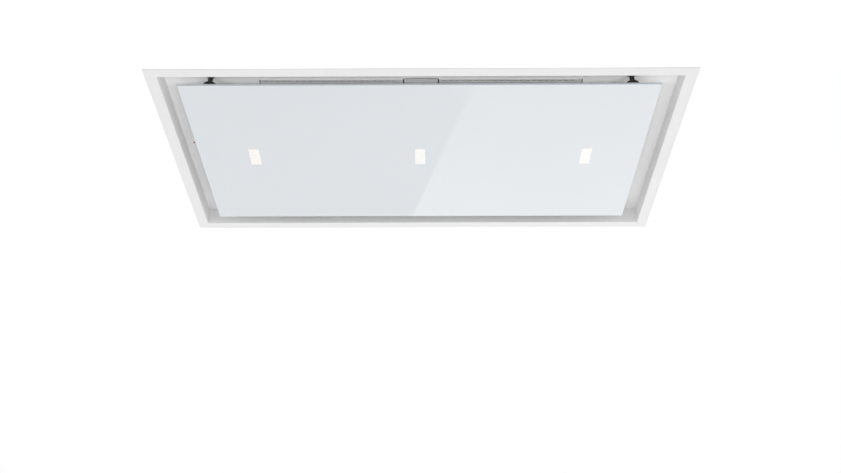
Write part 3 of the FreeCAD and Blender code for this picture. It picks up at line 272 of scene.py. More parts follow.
def soft_foam(name, light, dark):
    """Closed-cell foam or rubber: dull, with a fine pitted surface."""
    finish, tree, shader = new_finish(name, specular=0.25)
    cells = noise_layer(tree, 1600.0)
    tree.links.new(tint(tree, cells, dark, light), shader.inputs["Base Color"])
    tree.links.new(spread(tree, cells, 0.65, 0.85), shader.inputs["Roughness"])
    relief(tree, shader, cells, 0.4, 0.0003)
    return finish


white_coat = powder_coat("white_powder_coat", (0.940, 0.940, 0.936), (0.922, 0.922, 0.918))
SEAT_WIDTH = 3.5 * MM
SEAT_RISE = 0.5 * MM
SEAL_HEIGHT = 0.7 * MM
SEAL_WIDTH = 8 * MM
EDGE_EASE = 0.4 * MM
BEND = 1.4 * MM
under = flange_low.z
frame_profile = [
    np.array([(0.0, tray_low.z)]),
    arc((BEND, under + BEND), BEND, 180, 270),
    arc((FLANGE_WIDTH - EDGE_EASE, under + EDGE_EASE), EDGE_EASE, 270, 360, 4),
    np.array([(FLANGE_WIDTH, under + FLANGE_SHEET - SEAL_HEIGHT),
              (FLANGE_WIDTH - SEAL_WIDTH, under + FLANGE_SHEET - SEAL_HEIGHT),
              (FLANGE_WIDTH - SEAL_WIDTH, under + FLANGE_SHEET)]),
    np.array([(SEAT_WIDTH, under + FLANGE_SHEET), (SEAT_WIDTH, under + FLANGE_SHEET + SEAT_RISE),
              (WALL_SHEET, under + FLANGE_SHEET + SEAT_RISE), (WALL_SHEET, tray_low.z)]),
]
ceiling_frame = swept_ring("folded_ceiling_frame", frame_profile, opening_half)
ceiling_frame.data.materials.append(white_coat)
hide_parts("ceiling_frame")

# A grey foam strip in a rebate of the flange's upper edge, at the ceiling joint, is painted rim shade.
ceiling_z = under + FLANGE_SHEET
seal_z = ceiling_z - SEAL_HEIGHT
seal_profile = [np.array([(FLANGE_WIDTH - SEAL_WIDTH, seal_z), (FLANGE_WIDTH, seal_z),
                          (FLANGE_WIDTH, ceiling_z), (FLANGE_WIDTH - SEAL_WIDTH, ceiling_z)])]
rim_shade_strip = swept_ring("ceiling_rim_shade_strip", seal_profile, opening_half)

# The grey of this strip is painted shade on the flange's rim.
rim_shade_strip.data.materials.append(soft_foam("rim_shade_grey", (0.30, 0.30, 0.30), (0.22, 0.22, 0.22)))

# The stage ceiling is plasterboard with a cut-out a little larger than the housing.
BOARD_SHEET = 12.5 * MM
CUT_OUT_HALF = np.array([0.580, 0.330])
BOARD_WIDTH = 0.32
board_profile = [np.array([(0.0, ceiling_z), (BOARD_WIDTH, ceiling_z),
                           (BOARD_WIDTH, ceiling_z + BOARD_SHEET), (0.0, ceiling_z + BOARD_SHEET)])]
board = swept_ring("stage_ceiling", board_profile, CUT_OUT_HALF)
board.data.materials.append(flat_paint("ceiling_board", (0.80, 0.80, 0.80), 0.42))

# ---------------------------------------------------------------- Recess tray
# The plate that closes the recess, pressed from sheet steel with a light grey powder coat. Pressed rings
# stiffen the two holes for the posts.
tray_coat = powder_coat("tray_powder_coat", (0.83, 0.825, 0.83), (0.81, 0.805, 0.81), 0.5)
post_boxes = {side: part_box(f"catch_post_{side}") for side in ("left", "right")}


def dress(finish, *names):
    """Gives nodes that keep their own shape a finish."""
    for name in names:
        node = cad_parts[name]
        node.data.materials.clear()
        node.data.materials.append(finish)


dress(tray_coat, "recess_tray")


def revolved(name, profile, centre, body, axis="z", segments=40, lobes=0, depth=0.0):
    """Surface of revolution: a closed or pole-to-pole profile of (radius, along) points turned about an axis.

    A point is the centre, plus radius * (cos a, sin a) across the axis, plus along. Lobes vary the radius by
    depth * cos(lobes * a).
    """
    profile = np.vstack(profile)
    turns = np.linspace(0.0, 2 * np.pi, segments, endpoint=False)
    wave = 1.0 + depth * np.cos(lobes * turns)[:, None] if lobes else np.ones((segments, 1))
    radius = profile[None, :, 0] * wave
    across, upward = radius * np.cos(turns)[:, None], radius * np.sin(turns)[:, None]
    along = np.broadcast_to(profile[None, :, 1], radius.shape)
    order = {"z": (across, upward, along), "x": (along, across, upward), "y": (upward, along, across)}[axis]
    points = np.stack(order, axis=2).reshape(-1, 3) + np.asarray(centre)
    count = len(profile)
    index = np.arange(segments * count).reshape(segments, count)
    poles = profile[:, 0] < 1e-9
    index[:, poles] = index[0, poles]
    closed = not (poles[0] and poles[-1])
    step = np.arange(count if closed else count - 1)
    a, b = index[:, step], index[:, (step + 1) % count]
    c, d = np.roll(b, -1, axis=0), np.roll(a, -1, axis=0)
    quads = np.stack([a, d, c, b], axis=2).reshape(-1, 4)
    faces = [tuple(dict.fromkeys(quad)) for quad in quads.tolist()]
    used = sorted({corner for face in faces for corner in face})
    lookup = {old: new for new, old in enumerate(used)}
    packed = [tuple(lookup[corner] for corner in face) for face in faces]
    return riding_piece(name, points[used], packed, body)


HOLE_RING = 1.5 * MM
POST_HOLE = 9.5 * MM
for side, (low, high) in post_boxes.items():
    middle = (low + high) / 2
    ring = [arc((POST_HOLE + HOLE_RING, tray_low.z), HOLE_RING, 180, 360, 9)]
    hole_ring = revolved(f"post_hole_ring_{side}", ring, (middle.x, middle.y, 0.0), "housing", segments=48)
    hole_ring.data.materials.append(tray_coat)
    light_in_recess(hole_ring)

# ---------------------------------------------------------------- Glass panel
# A float-glass plate with polished, eased edges, painted white on its back, with three windows for the
# lamps. Its edges show the blue-green depth of the glass; its face is smooth and mirrors the studio.
glass_low, glass_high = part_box("glass_panel")
lens_boxes = {name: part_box(f"led_lens_{name}") for name in ("left", "centre", "right")}


def pierced_plate(name, low, high, windows, body, blind=None):
    """Plate between two corners with rectangular windows, on a grid of their edges.

    A window is (x low, x high, y low, y high). A blind plate has pockets of that depth in its underside
    instead.
    """
    xs = np.unique(np.round([low[0], high[0], *(w[0] for w in windows), *(w[1] for w in windows)], 7))
    ys = np.unique(np.round([low[1], high[1], *(w[2] for w in windows), *(w[3] for w in windows)], 7))
    mid_x, mid_y = (xs[:-1] + xs[1:]) / 2, (ys[:-1] + ys[1:]) / 2
    solid = np.zeros((len(xs) + 1, len(ys) + 1), bool)
    solid[1:-1, 1:-1] = True
    for x0, x1, y0, y1 in windows:
        inside = ((mid_x > x0) & (mid_x < x1))[:, None] & ((mid_y > y0) & (mid_y < y1))[None, :]
        solid[1:-1, 1:-1] &= ~inside
    plate = np.zeros_like(solid)
    plate[1:-1, 1:-1] = True
    levels = [low[2], high[2]] if blind is None else [low[2], low[2] + blind, high[2]]
    grid = np.stack(np.meshgrid(xs, ys, indexing="ij"), axis=2).reshape(-1, 2)
    points = np.vstack([np.column_stack([grid, np.full(len(grid), z)]) for z in levels])
    index = np.arange(len(points)).reshape(len(levels), len(xs), len(ys))

    def faces_level(cells, level, upward):
        i, j = np.nonzero(cells[1:-1, 1:-1])
        flat = index[level]
        quad = [flat[i, j], flat[i + 1, j], flat[i + 1, j + 1], flat[i, j + 1]]
        return np.stack(quad if upward else quad[::-1], axis=1)

    def walls(cells, bottom, top):
        made = []
        base, roof = index[bottom], index[top]
        i, j = np.nonzero(cells[1:, 1:-1] != cells[:-1, 1:-1])
        facing = cells[i, j + 1]
        quad = np.stack([base[i, j], base[i, j + 1], roof[i, j + 1], roof[i, j]], 1)
        made.append(np.where(facing[:, None], quad, quad[:, ::-1]))
        i, j = np.nonzero(cells[1:-1, 1:] != cells[1:-1, :-1])
        facing = cells[i + 1, j]
        quad = np.stack([base[i + 1, j], base[i, j], roof[i, j], roof[i + 1, j]], 1)
        made.append(np.where(facing[:, None], quad, quad[:, ::-1]))
        return np.vstack(made)

    top = len(levels) - 1
    if blind is None:
        sheets = [faces_level(solid, 0, False), faces_level(solid, top, True)]
        sides = [walls(solid, 0, top)]
    else:
        pockets = plate & ~solid
        sheets = [faces_level(solid, 0, False), faces_level(pockets, 1, False), faces_level(plate, top, True)]
        sides = [walls(solid, 0, 1), walls(plate, 1, top)]
    faces = np.vstack(sheets + sides)
    used, packed = np.unique(faces, return_inverse=True)
    piece = riding_piece(name, points[used], packed.reshape(faces.shape), body)
    piece["side_faces_from"] = int(sum(len(sheet) for sheet in sheets))
    return piece


def ease_edges(piece, width, segments=2):
    """Rounds a piece's sharp edges, as a file or a press leaves them."""
    bevel = piece.modifiers.new("eased_edges", "BEVEL")
    bevel.width = width
    bevel.segments = segments
    bevel.limit_method = "ANGLE"
    bevel.angle_limit = math.radians(40)
    return piece


def back_painted_glass(name, light, dark):
    """White paint seen through clear glass: a matt coloured base under a hard, smooth clear coat."""
    finish, tree, shader = new_finish(name, coat=1.0, specular=0.0)
    shader.inputs["Coat Roughness"].default_value = 0.012
    shader.inputs["Coat IOR"].default_value = 1.5
    shader.inputs["Roughness"].default_value = 0.6
    clouds = noise_layer(tree, 2.2, detail=2.0)
    tree.links.new(tint(tree, clouds, dark, light), shader.inputs["Base Color"])
    return finish


LENS_GAP = 0.2 * MM
windows = [(low.x - LENS_GAP, high.x + LENS_GAP, low.y - LENS_GAP, high.y + LENS_GAP)
           for low, high in lens_boxes.values()]
glass = pierced_plate("glass_plate", glass_low, glass_high, windows, "panel")
face_glass = back_painted_glass("white_back_painted_glass", (0.822, 0.858, 0.893), (0.806, 0.842, 0.876))
glass.data.materials.append(face_glass)
edge_glass = back_painted_glass("polished_glass_edge", (0.70, 0.74, 0.785), (0.64, 0.685, 0.73))
glass.data.materials.append(edge_glass)
edge_index = (np.arange(len(glass.data.polygons)) >= glass["side_faces_from"]).astype(int)
glass.data.polygons.foreach_set("material_index", edge_index)
ease_edges(glass, 0.5 * MM)
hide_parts("glass_panel")

# ---------------------------------------------------------------- Lamps
# Each lamp is an opal acrylic lens that sits flush in its window, with a slim die-cast module behind it
# whose fins shed the heat of the diodes. The lens glows evenly, with a faint grain in its brightness.
lens_glow, lens_tree, lens_shader = new_finish("opal_lens", coat=0.3)
lens_shader.inputs["Base Color"].default_value = (0.45, 0.45, 0.44, 1.0)
lens_shader.inputs["Emission Color"].default_value = (1.0, 0.978, 0.935, 1.0)
lens_grain = noise_layer(lens_tree, 260.0, detail=1.0)
lens_tree.links.new(spread(lens_tree, lens_grain, 0.49, 0.54), lens_shader.inputs["Emission Strength"])
lens_tree.links.new(spread(lens_tree, lens_grain, 0.24, 0.34), lens_shader.inputs["Roughness"])


def cast_metal(name, light, dark, rough=0.5):
    """Die-cast or painted metal with a fine sandy grain."""
    finish, tree, shader = new_finish(name, metallic=0.35)
    grain = noise_layer(tree, 420.0)
    tree.links.new(tint(tree, grain, dark, light), shader.inputs["Base Color"])
    tree.links.new(spread(tree, grain, rough - 0.08, rough + 0.08), shader.inputs["Roughness"])
    relief(tree, shader, grain, 0.2, 0.0002)
    return finish


def block_faces(count):
    """Outward quads of a run of boxes whose eight corners each are listed bottom ring first."""
    one = np.array([(3, 2, 1, 0), (4, 5, 6, 7), (0, 1, 5, 4), (1, 2, 6, 5), (2, 3, 7, 6), (3, 0, 4, 7)])
    return (np.arange(count)[:, None, None] * 8 + one[None]).reshape(-1, 4)


def block_points(lows, highs):
    """Corners of boxes between low and high corners, bottom ring first."""
    lows, highs = np.atleast_2d(lows), np.atleast_2d(highs)
    pick = np.array([(0, 0, 0), (1, 0, 0), (1, 1, 0), (0, 1, 0), (0, 0, 1), (1, 0, 1), (1, 1, 1), (0, 1, 1)])
    return (lows[:, None, :] + pick[None] * (highs - lows)[:, None, :]).reshape(-1, 3)


def blocks(name, lows, highs, body, ease=0.0):
    """Piece made of separate boxes, with eased edges."""
    count = len(np.atleast_2d(lows))
    piece = riding_piece(name, block_points(lows, highs), block_faces(count), body)
    return ease_edges(piece, ease) if ease else piece


module_cast = cast_metal("lamp_module_casting", (0.80, 0.80, 0.79), (0.72, 0.72, 0.71))
FIN_COUNT = 14
FIN_SHEET = 1.6 * MM
FIN_ROOT = 3 * MM
for lamp, (low, high) in lens_boxes.items():
    lens = blocks(f"lamp_lens_{lamp}", low, high, "panel", 0.4 * MM)
    lens.data.materials.append(lens_glow)
    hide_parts(f"led_lens_{lamp}")
    base, top = (np.array(corner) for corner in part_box(f"led_module_{lamp}"))
    starts = np.linspace(base[1] + FIN_SHEET, top[1] - 2 * FIN_SHEET, FIN_COUNT)
    lows = np.array([base] + [(base[0] + FIN_SHEET, y, base[2] + FIN_ROOT - 0.2 * MM) for y in starts])
    highs = np.array([(top[0], top[1], base[2] + FIN_ROOT)]
                     + [(top[0] - FIN_SHEET, y + FIN_SHEET, top[2]) for y in starts])
    module = blocks(f"lamp_module_{lamp}", lows, highs, "panel", 0.3 * MM)
    module.data.materials.append(module_cast)
    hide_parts(f"led_module_{lamp}")

# ---------------------------------------------------------------- Posts
# Two turned black nylon posts that hang the panel's front edge: a round foot glued to the glass, a stem,
# and a ball that snaps into a spring clip above the tray.


def moulded_plastic(name, light, dark, rough, coat=0.0):
    """Injection-moulded plastic with a faint spark-eroded texture."""
    finish, tree, shader = new_finish(name, coat=coat)
    grain = noise_layer(tree, 1400.0, detail=2.0)
    tree.links.new(tint(tree, grain, dark, light), shader.inputs["Base Color"])
    tree.links.new(spread(tree, grain, rough - 0.06, rough + 0.06), shader.inputs["Roughness"])
    relief(tree, shader, grain, 0.12, 0.0001)
    return finish


black_nylon = moulded_plastic("black_nylon", (0.030, 0.030, 0.031), (0.018, 0.018, 0.019), 0.42)
FOOT_RADIUS = 14.4 * MM
FOOT_HEIGHT = 12.4 * MM
DOME_HEIGHT = 1.6 * MM
DOME_TOP_RADIUS = 10 * MM
STEM_RADIUS = 5.6 * MM
STEM_FILLET = 1.5 * MM
NECK_RADIUS = 4 * MM
BALL_RADIUS = 6.5 * MM
NECK_LENGTH = 6 * MM
FOOT_EASE = 0.6 * MM
NECK_EASE = 0.8 * MM
for side, (low, high) in post_boxes.items():
    middle = (low + high) / 2
    ball_z = high.z - BALL_RADIUS
    neck_low = ball_z - BALL_RADIUS - NECK_LENGTH
    dome = arc((0.0, 0.0), 1.0, 0, 90, 10)
    dome_top = low.z + FOOT_HEIGHT + DOME_HEIGHT
    dome = np.column_stack([DOME_TOP_RADIUS + (FOOT_RADIUS - DOME_TOP_RADIUS) * dome[:, 0],
                            low.z + FOOT_HEIGHT + DOME_HEIGHT * dome[:, 1]])
    ball_start = math.degrees(math.asin(-math.sqrt(BALL_RADIUS ** 2 - NECK_RADIUS ** 2) / BALL_RADIUS))
    ball_arc = arc((0.0, ball_z), BALL_RADIUS, ball_start, 90, 14)
    ball_arc[-1, 0] = 0.0
    outline = [
        np.array([(0.0, low.z), (FOOT_RADIUS - FOOT_EASE, low.z), (FOOT_RADIUS, low.z + FOOT_EASE)]),
        dome,
        arc((STEM_RADIUS + STEM_FILLET, dome_top + STEM_FILLET), STEM_FILLET, 260, 180, 5),
        np.array([(STEM_RADIUS, neck_low - NECK_EASE), (STEM_RADIUS - NECK_EASE, neck_low),
                  (NECK_RADIUS, neck_low)]),
        ball_arc,
    ]
    post = revolved(f"turned_post_{side}", outline, (middle.x, middle.y, 0.0), "panel", segments=56)
    post.data.materials.append(black_nylon)
    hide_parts(f"catch_post_{side}")

# ---------------------------------------------------------------- Grease filters
# Two lift-out filters side by side: a pressed aluminium frame with a row of drain slots along its front
# and back, and two layers of expanded aluminium mesh. A flat bridge strip between them leaves a narrow
# gap beside each filter.


def brushed_aluminium(name, light, dark, along=(6.0, 400.0, 400.0), rough=0.34, metallic=1.0):
    """Rolled aluminium with fine lines drawn along one axis."""
    finish, tree, shader = new_finish(name, metallic=metallic)
    lines = noise_layer(tree, 1.6, stretch=along, detail=3.0)
    clouds = noise_layer(tree, 14.0, detail=3.0)
    tree.links.new(tint(tree, lines, dark, light), shader.inputs["Base Color"])
    tree.links.new(spread(tree, clouds, rough - 0.06, rough + 0.10), shader.inputs["Roughness"])
    relief(tree, shader, lines, 0.15, 0.0002)
    return finish


filter_alu = brushed_aluminium("pressed_aluminium", (0.80, 0.79, 0.80), (0.74, 0.73, 0.74), metallic=0.25)
mesh_alu = brushed_aluminium("expanded_aluminium", (0.66, 0.66, 0.67), (0.54, 0.54, 0.55),
                             (300.0, 300.0, 300.0), metallic=0.5)
SLOT_LENGTH = 8.5 * MM
SLOT_WIDTH = 3.4 * MM
SLOT_PITCH = 14.4 * MM
SLOT_INSET = 7.5 * MM
SLOT_DEPTH = 1.2 * MM
LIP_SHEET = 1 * MM
LIP_WIDTH = 60 * MM
RIM_WALL = 1 * MM
ROOF_INSET = 2 * MM
MESH_GAP = 0.2 * MM
MESH_SHEET = 0.8 * MM
LOWER_PITCH = 7 * MM
UPPER_PITCH = 5 * MM
STRAND_WIDTH = 0.9 * MM
TRAY_SHEET = 1.2 * MM
SLIDE_GAP = 0.3 * MM


def expanded_mesh(name, low, high, pitch, body, across=False):
    """Sheet of zigzag strands: strand k runs along the sheet at k * pitch, swinging half a pitch each way.

    Neighbouring strands swing the other way, so their crests meet and leave diamond openings.
    """
    wide = STRAND_WIDTH
    reach = np.array([high[0] - low[0], high[1] - low[1]])
    if across:
        reach = reach[::-1]
    rows = int(reach[1] / pitch)
    columns = int(reach[0] / pitch)
    gap = (reach[1] - 2 * wide) / rows
    along = np.linspace(0.0, reach[0], columns + 1)
    crest = np.where(np.arange(columns + 1) % 2 == 0, 0.5, -0.5) * (gap - wide)
    row = np.arange(rows)
    sign = np.where(row % 2 == 0, 1.0, -1.0)
    side = wide + gap * (row + 0.5)[:, None] + sign[:, None] * crest[None, :]
    thick = high[2] - low[2]
    corners = []
    for shift, rise in ((-wide / 2, 0.0), (wide / 2, 0.0), (wide / 2, thick), (-wide / 2, thick)):
        flat = np.stack([np.broadcast_to(along, side.shape), side + shift, np.full(side.shape, rise)], axis=2)
        corners.append(flat)
    points = np.stack(corners, axis=2)
    if across:
        points = points[..., [1, 0, 2]]
    points = points.reshape(-1, 3) + np.asarray(low)
    index = np.arange(rows * (columns + 1) * 4).reshape(rows, columns + 1, 4)
    start, end = index[:, :-1], index[:, 1:]
    quads = [np.stack([start[..., k], end[..., k], end[..., (k + 1) % 4], start[..., (k + 1) % 4]], -1)
             for k in range(4)]
    caps = [index[:, 0], index[:, -1, ::-1]]
    faces = np.vstack([quad.reshape(-1, 4) for quad in quads] + caps)
    if not across:
        faces = faces[:, ::-1]
    return riding_piece(name, points, faces, body)


for side, sign in (("left", -1), ("right", 1)):
    body = f"{side}_filter"
    low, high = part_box(f"filter_frame_{side}")
    mesh_low, mesh_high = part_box(f"filter_mesh_{side}")
    inner, outer = (mesh_high.x, mesh_low.x) if sign < 0 else (mesh_low.x, mesh_high.x)
    border = mesh_low.y - MESH_GAP - low.y
    rim_x = sorted((inner - sign * (border + MESH_GAP), outer + sign * (border + MESH_GAP)))
    opening = (mesh_low.x - MESH_GAP, mesh_high.x + MESH_GAP,
               mesh_low.y - MESH_GAP, mesh_high.y + MESH_GAP)
    count = int((rim_x[1] - rim_x[0] - SLOT_LENGTH) / SLOT_PITCH)
    starts = rim_x[0] + SLOT_PITCH / 2 + SLOT_PITCH * np.arange(count)
    rows = [low.y + SLOT_INSET, high.y - SLOT_INSET]
    slots = [(x, x + SLOT_LENGTH, y - SLOT_WIDTH / 2, y + SLOT_WIDTH / 2) for y in rows for x in starts]
    skin_top = low.z + SLOT_DEPTH
    skin = pierced_plate(f"filter_rim_{side}", (rim_x[0], low.y, low.z), (rim_x[1], high.y, skin_top),
                         [opening, *slots], body)
    ease_edges(skin, 0.35 * MM)
    skin.data.materials.append(filter_alu)
    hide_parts(f"filter_frame_{side}")
    channel = [np.array([(0.0, skin_top), (0.0, high.z), (-RIM_WALL, high.z), (-RIM_WALL, skin_top)])]
    half = np.array([(rim_x[1] - rim_x[0]) / 2, (high.y - low.y) / 2])
    centre = ((rim_x[0] + rim_x[1]) / 2, (low.y + high.y) / 2)
    outer_wall = swept_ring(f"filter_outer_wall_{side}", channel, half, centre, body)
    inner_wall = swept_ring(f"filter_inner_wall_{side}", [channel[0] + (RIM_WALL, 0.0)],
                            half - border, centre, body)
    top_wall = swept_ring(f"filter_top_wall_{side}",
                          [np.array([(0.0, high.z - LIP_SHEET), (border - ROOF_INSET, high.z - LIP_SHEET),
                                     (border - ROOF_INSET, high.z), (0.0, high.z)])],
                          half - border + RIM_WALL, centre, body)
    lip_z = tray_low.z + TRAY_SHEET + SLIDE_GAP
    tongue_z = low.z + SLIDE_GAP
    lip_ends = sorted((rim_x[1 if sign > 0 else 0], high.x if sign > 0 else low.x))
    tongue_ends = sorted((rim_x[0 if sign > 0 else 1], low.x if sign > 0 else high.x))
    lows, highs = [], []
    for y in (low.y + border, high.y - border - LIP_WIDTH):
        lows += [(lip_ends[0], y, lip_z), (tongue_ends[0], y, tongue_z)]
        highs += [(lip_ends[1], y + LIP_WIDTH, lip_z + LIP_SHEET),
                  (tongue_ends[1], y + LIP_WIDTH, tongue_z + LIP_SHEET)]
    lips = blocks(f"filter_lips_{side}", np.array(lows), np.array(highs), body, 0.3 * MM)
    for wall in (outer_wall, inner_wall, top_wall, lips):
        wall.data.materials.append(filter_alu)
    light_in_recess(skin, outer_wall, inner_wall)
    layer = (mesh_high.z - mesh_low.z) / 2
    lower = expanded_mesh(f"mesh_lower_{side}", mesh_low,
                          (mesh_high.x, mesh_high.y, mesh_low.z + MESH_SHEET), LOWER_PITCH, body)
    upper = expanded_mesh(f"mesh_upper_{side}", (mesh_low.x, mesh_low.y, mesh_low.z + layer),
                          (mesh_high.x, mesh_high.y, mesh_low.z + layer + MESH_SHEET), UPPER_PITCH, body,
                          across=True)
    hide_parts(f"filter_mesh_{side}")
    for sheet in (lower, upper):
        sheet.data.materials.append(mesh_alu)
        light_in_recess(sheet)

# The bridge is a folded aluminium strip whose two webs stiffen it and guide the filters' springs. A thin
# black strip on its front edge is painted shade: rubber-coloured, it stands for the dark shade along that
# edge.
bridge_low, bridge_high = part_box("filter_bridge")
BRIDGE_SHEET = 2 * MM
CHANNEL_HALF = 17 * MM
WEB_END_GAP = 1.5 * MM
WEB_ROOT = 0.1 * MM
web_z = bridge_low.z + BRIDGE_SHEET - WEB_ROOT
web_ends = (bridge_low.y + WEB_END_GAP, bridge_high.y - WEB_END_GAP)
lows = [(bridge_low.x, bridge_low.y, bridge_low.z),
        (-CHANNEL_HALF, web_ends[0], web_z),
        (CHANNEL_HALF - BRIDGE_SHEET, web_ends[0], web_z)]
highs = [(bridge_high.x, bridge_high.y, bridge_low.z + BRIDGE_SHEET),
         (BRIDGE_SHEET - CHANNEL_HALF, web_ends[1], bridge_high.z),
         (CHANNEL_HALF, web_ends[1], bridge_high.z)]
bridge = blocks("folded_bridge", np.array(lows), np.array(highs), "housing", 0.4 * MM)
bridge.data.materials.append(filter_alu)
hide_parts("filter_bridge")
light_in_recess(bridge)
# Black rubber for the duct lip and gasket; on the bridge's edge strip the same black is painted shade.
dark_rubber_and_shade = soft_foam("black_rubber_and_painted_shade", (0.05, 0.05, 0.05), (0.02, 0.02, 0.02))
STRIP_DEPTH = 1.2 * MM
STRIP_RISE = 0.6 * MM
STRIP_GAP = 0.05 * MM
bridge_shade_strip = blocks("bridge_edge_painted_shade",
                    (bridge_low.x, bridge_low.y - STRIP_DEPTH, bridge_low.z + STRIP_RISE),
                    (bridge_high.x, bridge_low.y, bridge_low.z + BRIDGE_SHEET - STRIP_GAP), "housing")
bridge_shade_strip.data.materials.append(dark_rubber_and_shade)

# ---------------------------------------------------------------- Remote receiver
# A small red-tinted lens that peeps through the tray, in a white moulded ring.
low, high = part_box("receiver_bezel")
middle = (low + high) / 2
RECEIVER_LENS = 2.3 * MM
RING_FULLNESS = 0.98
ring_width = (high.x - low.x) / 2 - RECEIVER_LENS
ring_centre = RECEIVER_LENS + ring_width / 2
turns = np.linspace(0, np.pi, 9)[1:-1]
ring = [np.array([(ring_centre + ring_width / 2, high.z), (RECEIVER_LENS, high.z)]),
        np.column_stack([ring_centre - ring_width / 2 * np.cos(turns),
                         high.z - (high.z - low.z) * np.sin(turns) * RING_FULLNESS])]
bezel = revolved("receiver_ring", ring, (middle.x, middle.y, 0.0), "housing", segments=36)
bezel.data.materials.append(moulded_plastic("white_ring", (0.95, 0.93, 0.92), (0.91, 0.89, 0.88), 0.3, 0.4))
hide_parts("receiver_bezel")
light_in_recess(bezel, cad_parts["recess_tray"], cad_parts["remote_receiver"])

# ---------------------------------------------------------------- Panel backing and its cables
# A folded steel tray glued to the glass carries the lamp modules. A flat grey lead runs from lamp to lamp.
dress(powder_coat("backing_primer", (0.84, 0.84, 0.84), (0.80, 0.80, 0.80), 0.5), "panel_backing")
CABLE_RADIUS = 1.4 * MM
CABLE_ROWS = (14 * MM, 19 * MM)
cable_skin = moulded_plastic("cable_skin", (0.42, 0.42, 0.43), (0.36, 0.36, 0.37), 0.5)
BACKING_SHEET = 1 * MM
backing_floor = glass_high.z + BACKING_SHEET
modules = [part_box(f"led_module_{lamp}") for lamp in ("left", "centre", "right")]
for (_, near), (far, _) in zip(modules, modules[1:]):
    run = [np.array([(0.0, near.x), (CABLE_RADIUS, near.x), (CABLE_RADIUS, far.x), (0.0, far.x)])]
    for row in CABLE_ROWS:
        lead = revolved("lamp_lead", run, (0.0, row, backing_floor + CABLE_RADIUS), "panel", "x", 12)
        lead.data.materials.append(cable_skin)

# ---------------------------------------------------------------- Panel hinge and catches
# Zinc-plated leaves turn on ground pins between the ears of brackets under the tray. The front posts snap
# into spring-steel clips inside black nylon housings.
bolt_zinc = brushed_aluminium("plated_steel", (0.74, 0.73, 0.70), (0.62, 0.61, 0.58),
                              (200.0, 200.0, 200.0), 0.3)
ground_steel = brushed_aluminium("ground_steel", (0.72, 0.72, 0.72), (0.62, 0.62, 0.62),
                                 (300.0, 20.0, 20.0), 0.18)
spring_strip = brushed_aluminium("spring_strip", (0.50, 0.49, 0.47), (0.42, 0.41, 0.39),
                                 (200.0, 20.0, 200.0), 0.26)
for side in ("left", "right"):
    dress(bolt_zinc, f"hinge_leaf_{side}", f"hinge_bracket_{side}")
    dress(ground_steel, f"hinge_pin_{side}")
    dress(black_nylon, f"catch_housing_{side}")
    dress(spring_strip, f"catch_clip_{side}", f"filter_springs_{side}")

# ---------------------------------------------------------------- Housing
# Four walls and a top plate of hot-dip galvanised sheet, whose zinc freezes into pale spangles. Long
# beads pressed into the sheets stiffen them, and dome rivets close the corner laps.


def galvanised(name, light, dark):
    """Galvanised sheet: crystals of slightly different brightness, shine and tilt."""
    finish, tree, shader = new_finish(name, metallic=0.85)
    place, cells, split = add_nodes(tree, "ShaderNodeTexCoord", "ShaderNodeTexVoronoi",
                                    "ShaderNodeSeparateColor")
    cells.inputs["Scale"].default_value = 150.0
    tree.links.new(place.outputs["Object"], cells.inputs["Vector"])
    tree.links.new(cells.outputs["Color"], split.inputs["Color"])
    tree.links.new(tint(tree, split.outputs["Red"], dark, light), shader.inputs["Base Color"])
    tree.links.new(spread(tree, split.outputs["Green"], 0.40, 0.48), shader.inputs["Roughness"])
    relief(tree, shader, split.outputs["Blue"], 0.05, 0.0001)
    return finish


AXES = {"x": (0, 1, 2), "y": (1, 2, 0), "z": (2, 0, 1)}
DOME_RINGS = 5
BEAD_STEPS = 6
TUBE_SIDES = 12
BEAD_ROOT = 0.2 * MM


def on_face(local, axis, facing):
    """Turns local points (u, v, out) to a face square to an axis, looking up (1) or down (-1) it."""
    turned = np.empty_like(local)
    out, first, second = AXES[axis]
    turned[..., out] = facing * local[..., 2]
    turned[..., first] = local[..., 0]
    turned[..., second] = facing * local[..., 1]
    return turned


def tube_faces(count, rings, around):
    """Quads between successive rings of several tubes, and the two end faces of each tube."""
    index = np.arange(count * rings * around).reshape(count, rings, around)
    after = np.roll(index, -1, axis=2)
    quads = np.stack([index[:, :-1], after[:, :-1], after[:, 1:], index[:, 1:]], axis=3).reshape(-1, 4)
    return quads.tolist() + index[:, 0, ::-1].tolist() + index[:, -1].tolist()


def dome_heads(name, places, axis, facing, radius, height, body="housing"):
    """Rivet heads: ring k of a dome has radius r cos t and height h sin t, for t from 0 to 80 degrees."""
    turns = np.radians(np.linspace(0, 80, DOME_RINGS))
    around = np.linspace(0, 2 * np.pi, TUBE_SIDES, endpoint=False)
    ring = np.stack([np.outer(np.cos(turns), np.cos(around)) * radius,
                     np.outer(np.cos(turns), np.sin(around)) * radius,
                     np.repeat(height * np.sin(turns)[:, None], TUBE_SIDES, axis=1)], axis=2)
    points = on_face(ring, axis, facing)[None] + np.asarray(places, float)[:, None, None, :]
    faces = tube_faces(len(places), DOME_RINGS, TUBE_SIDES)
    return riding_piece(name, points.reshape(-1, 3), faces, body, crease=40)


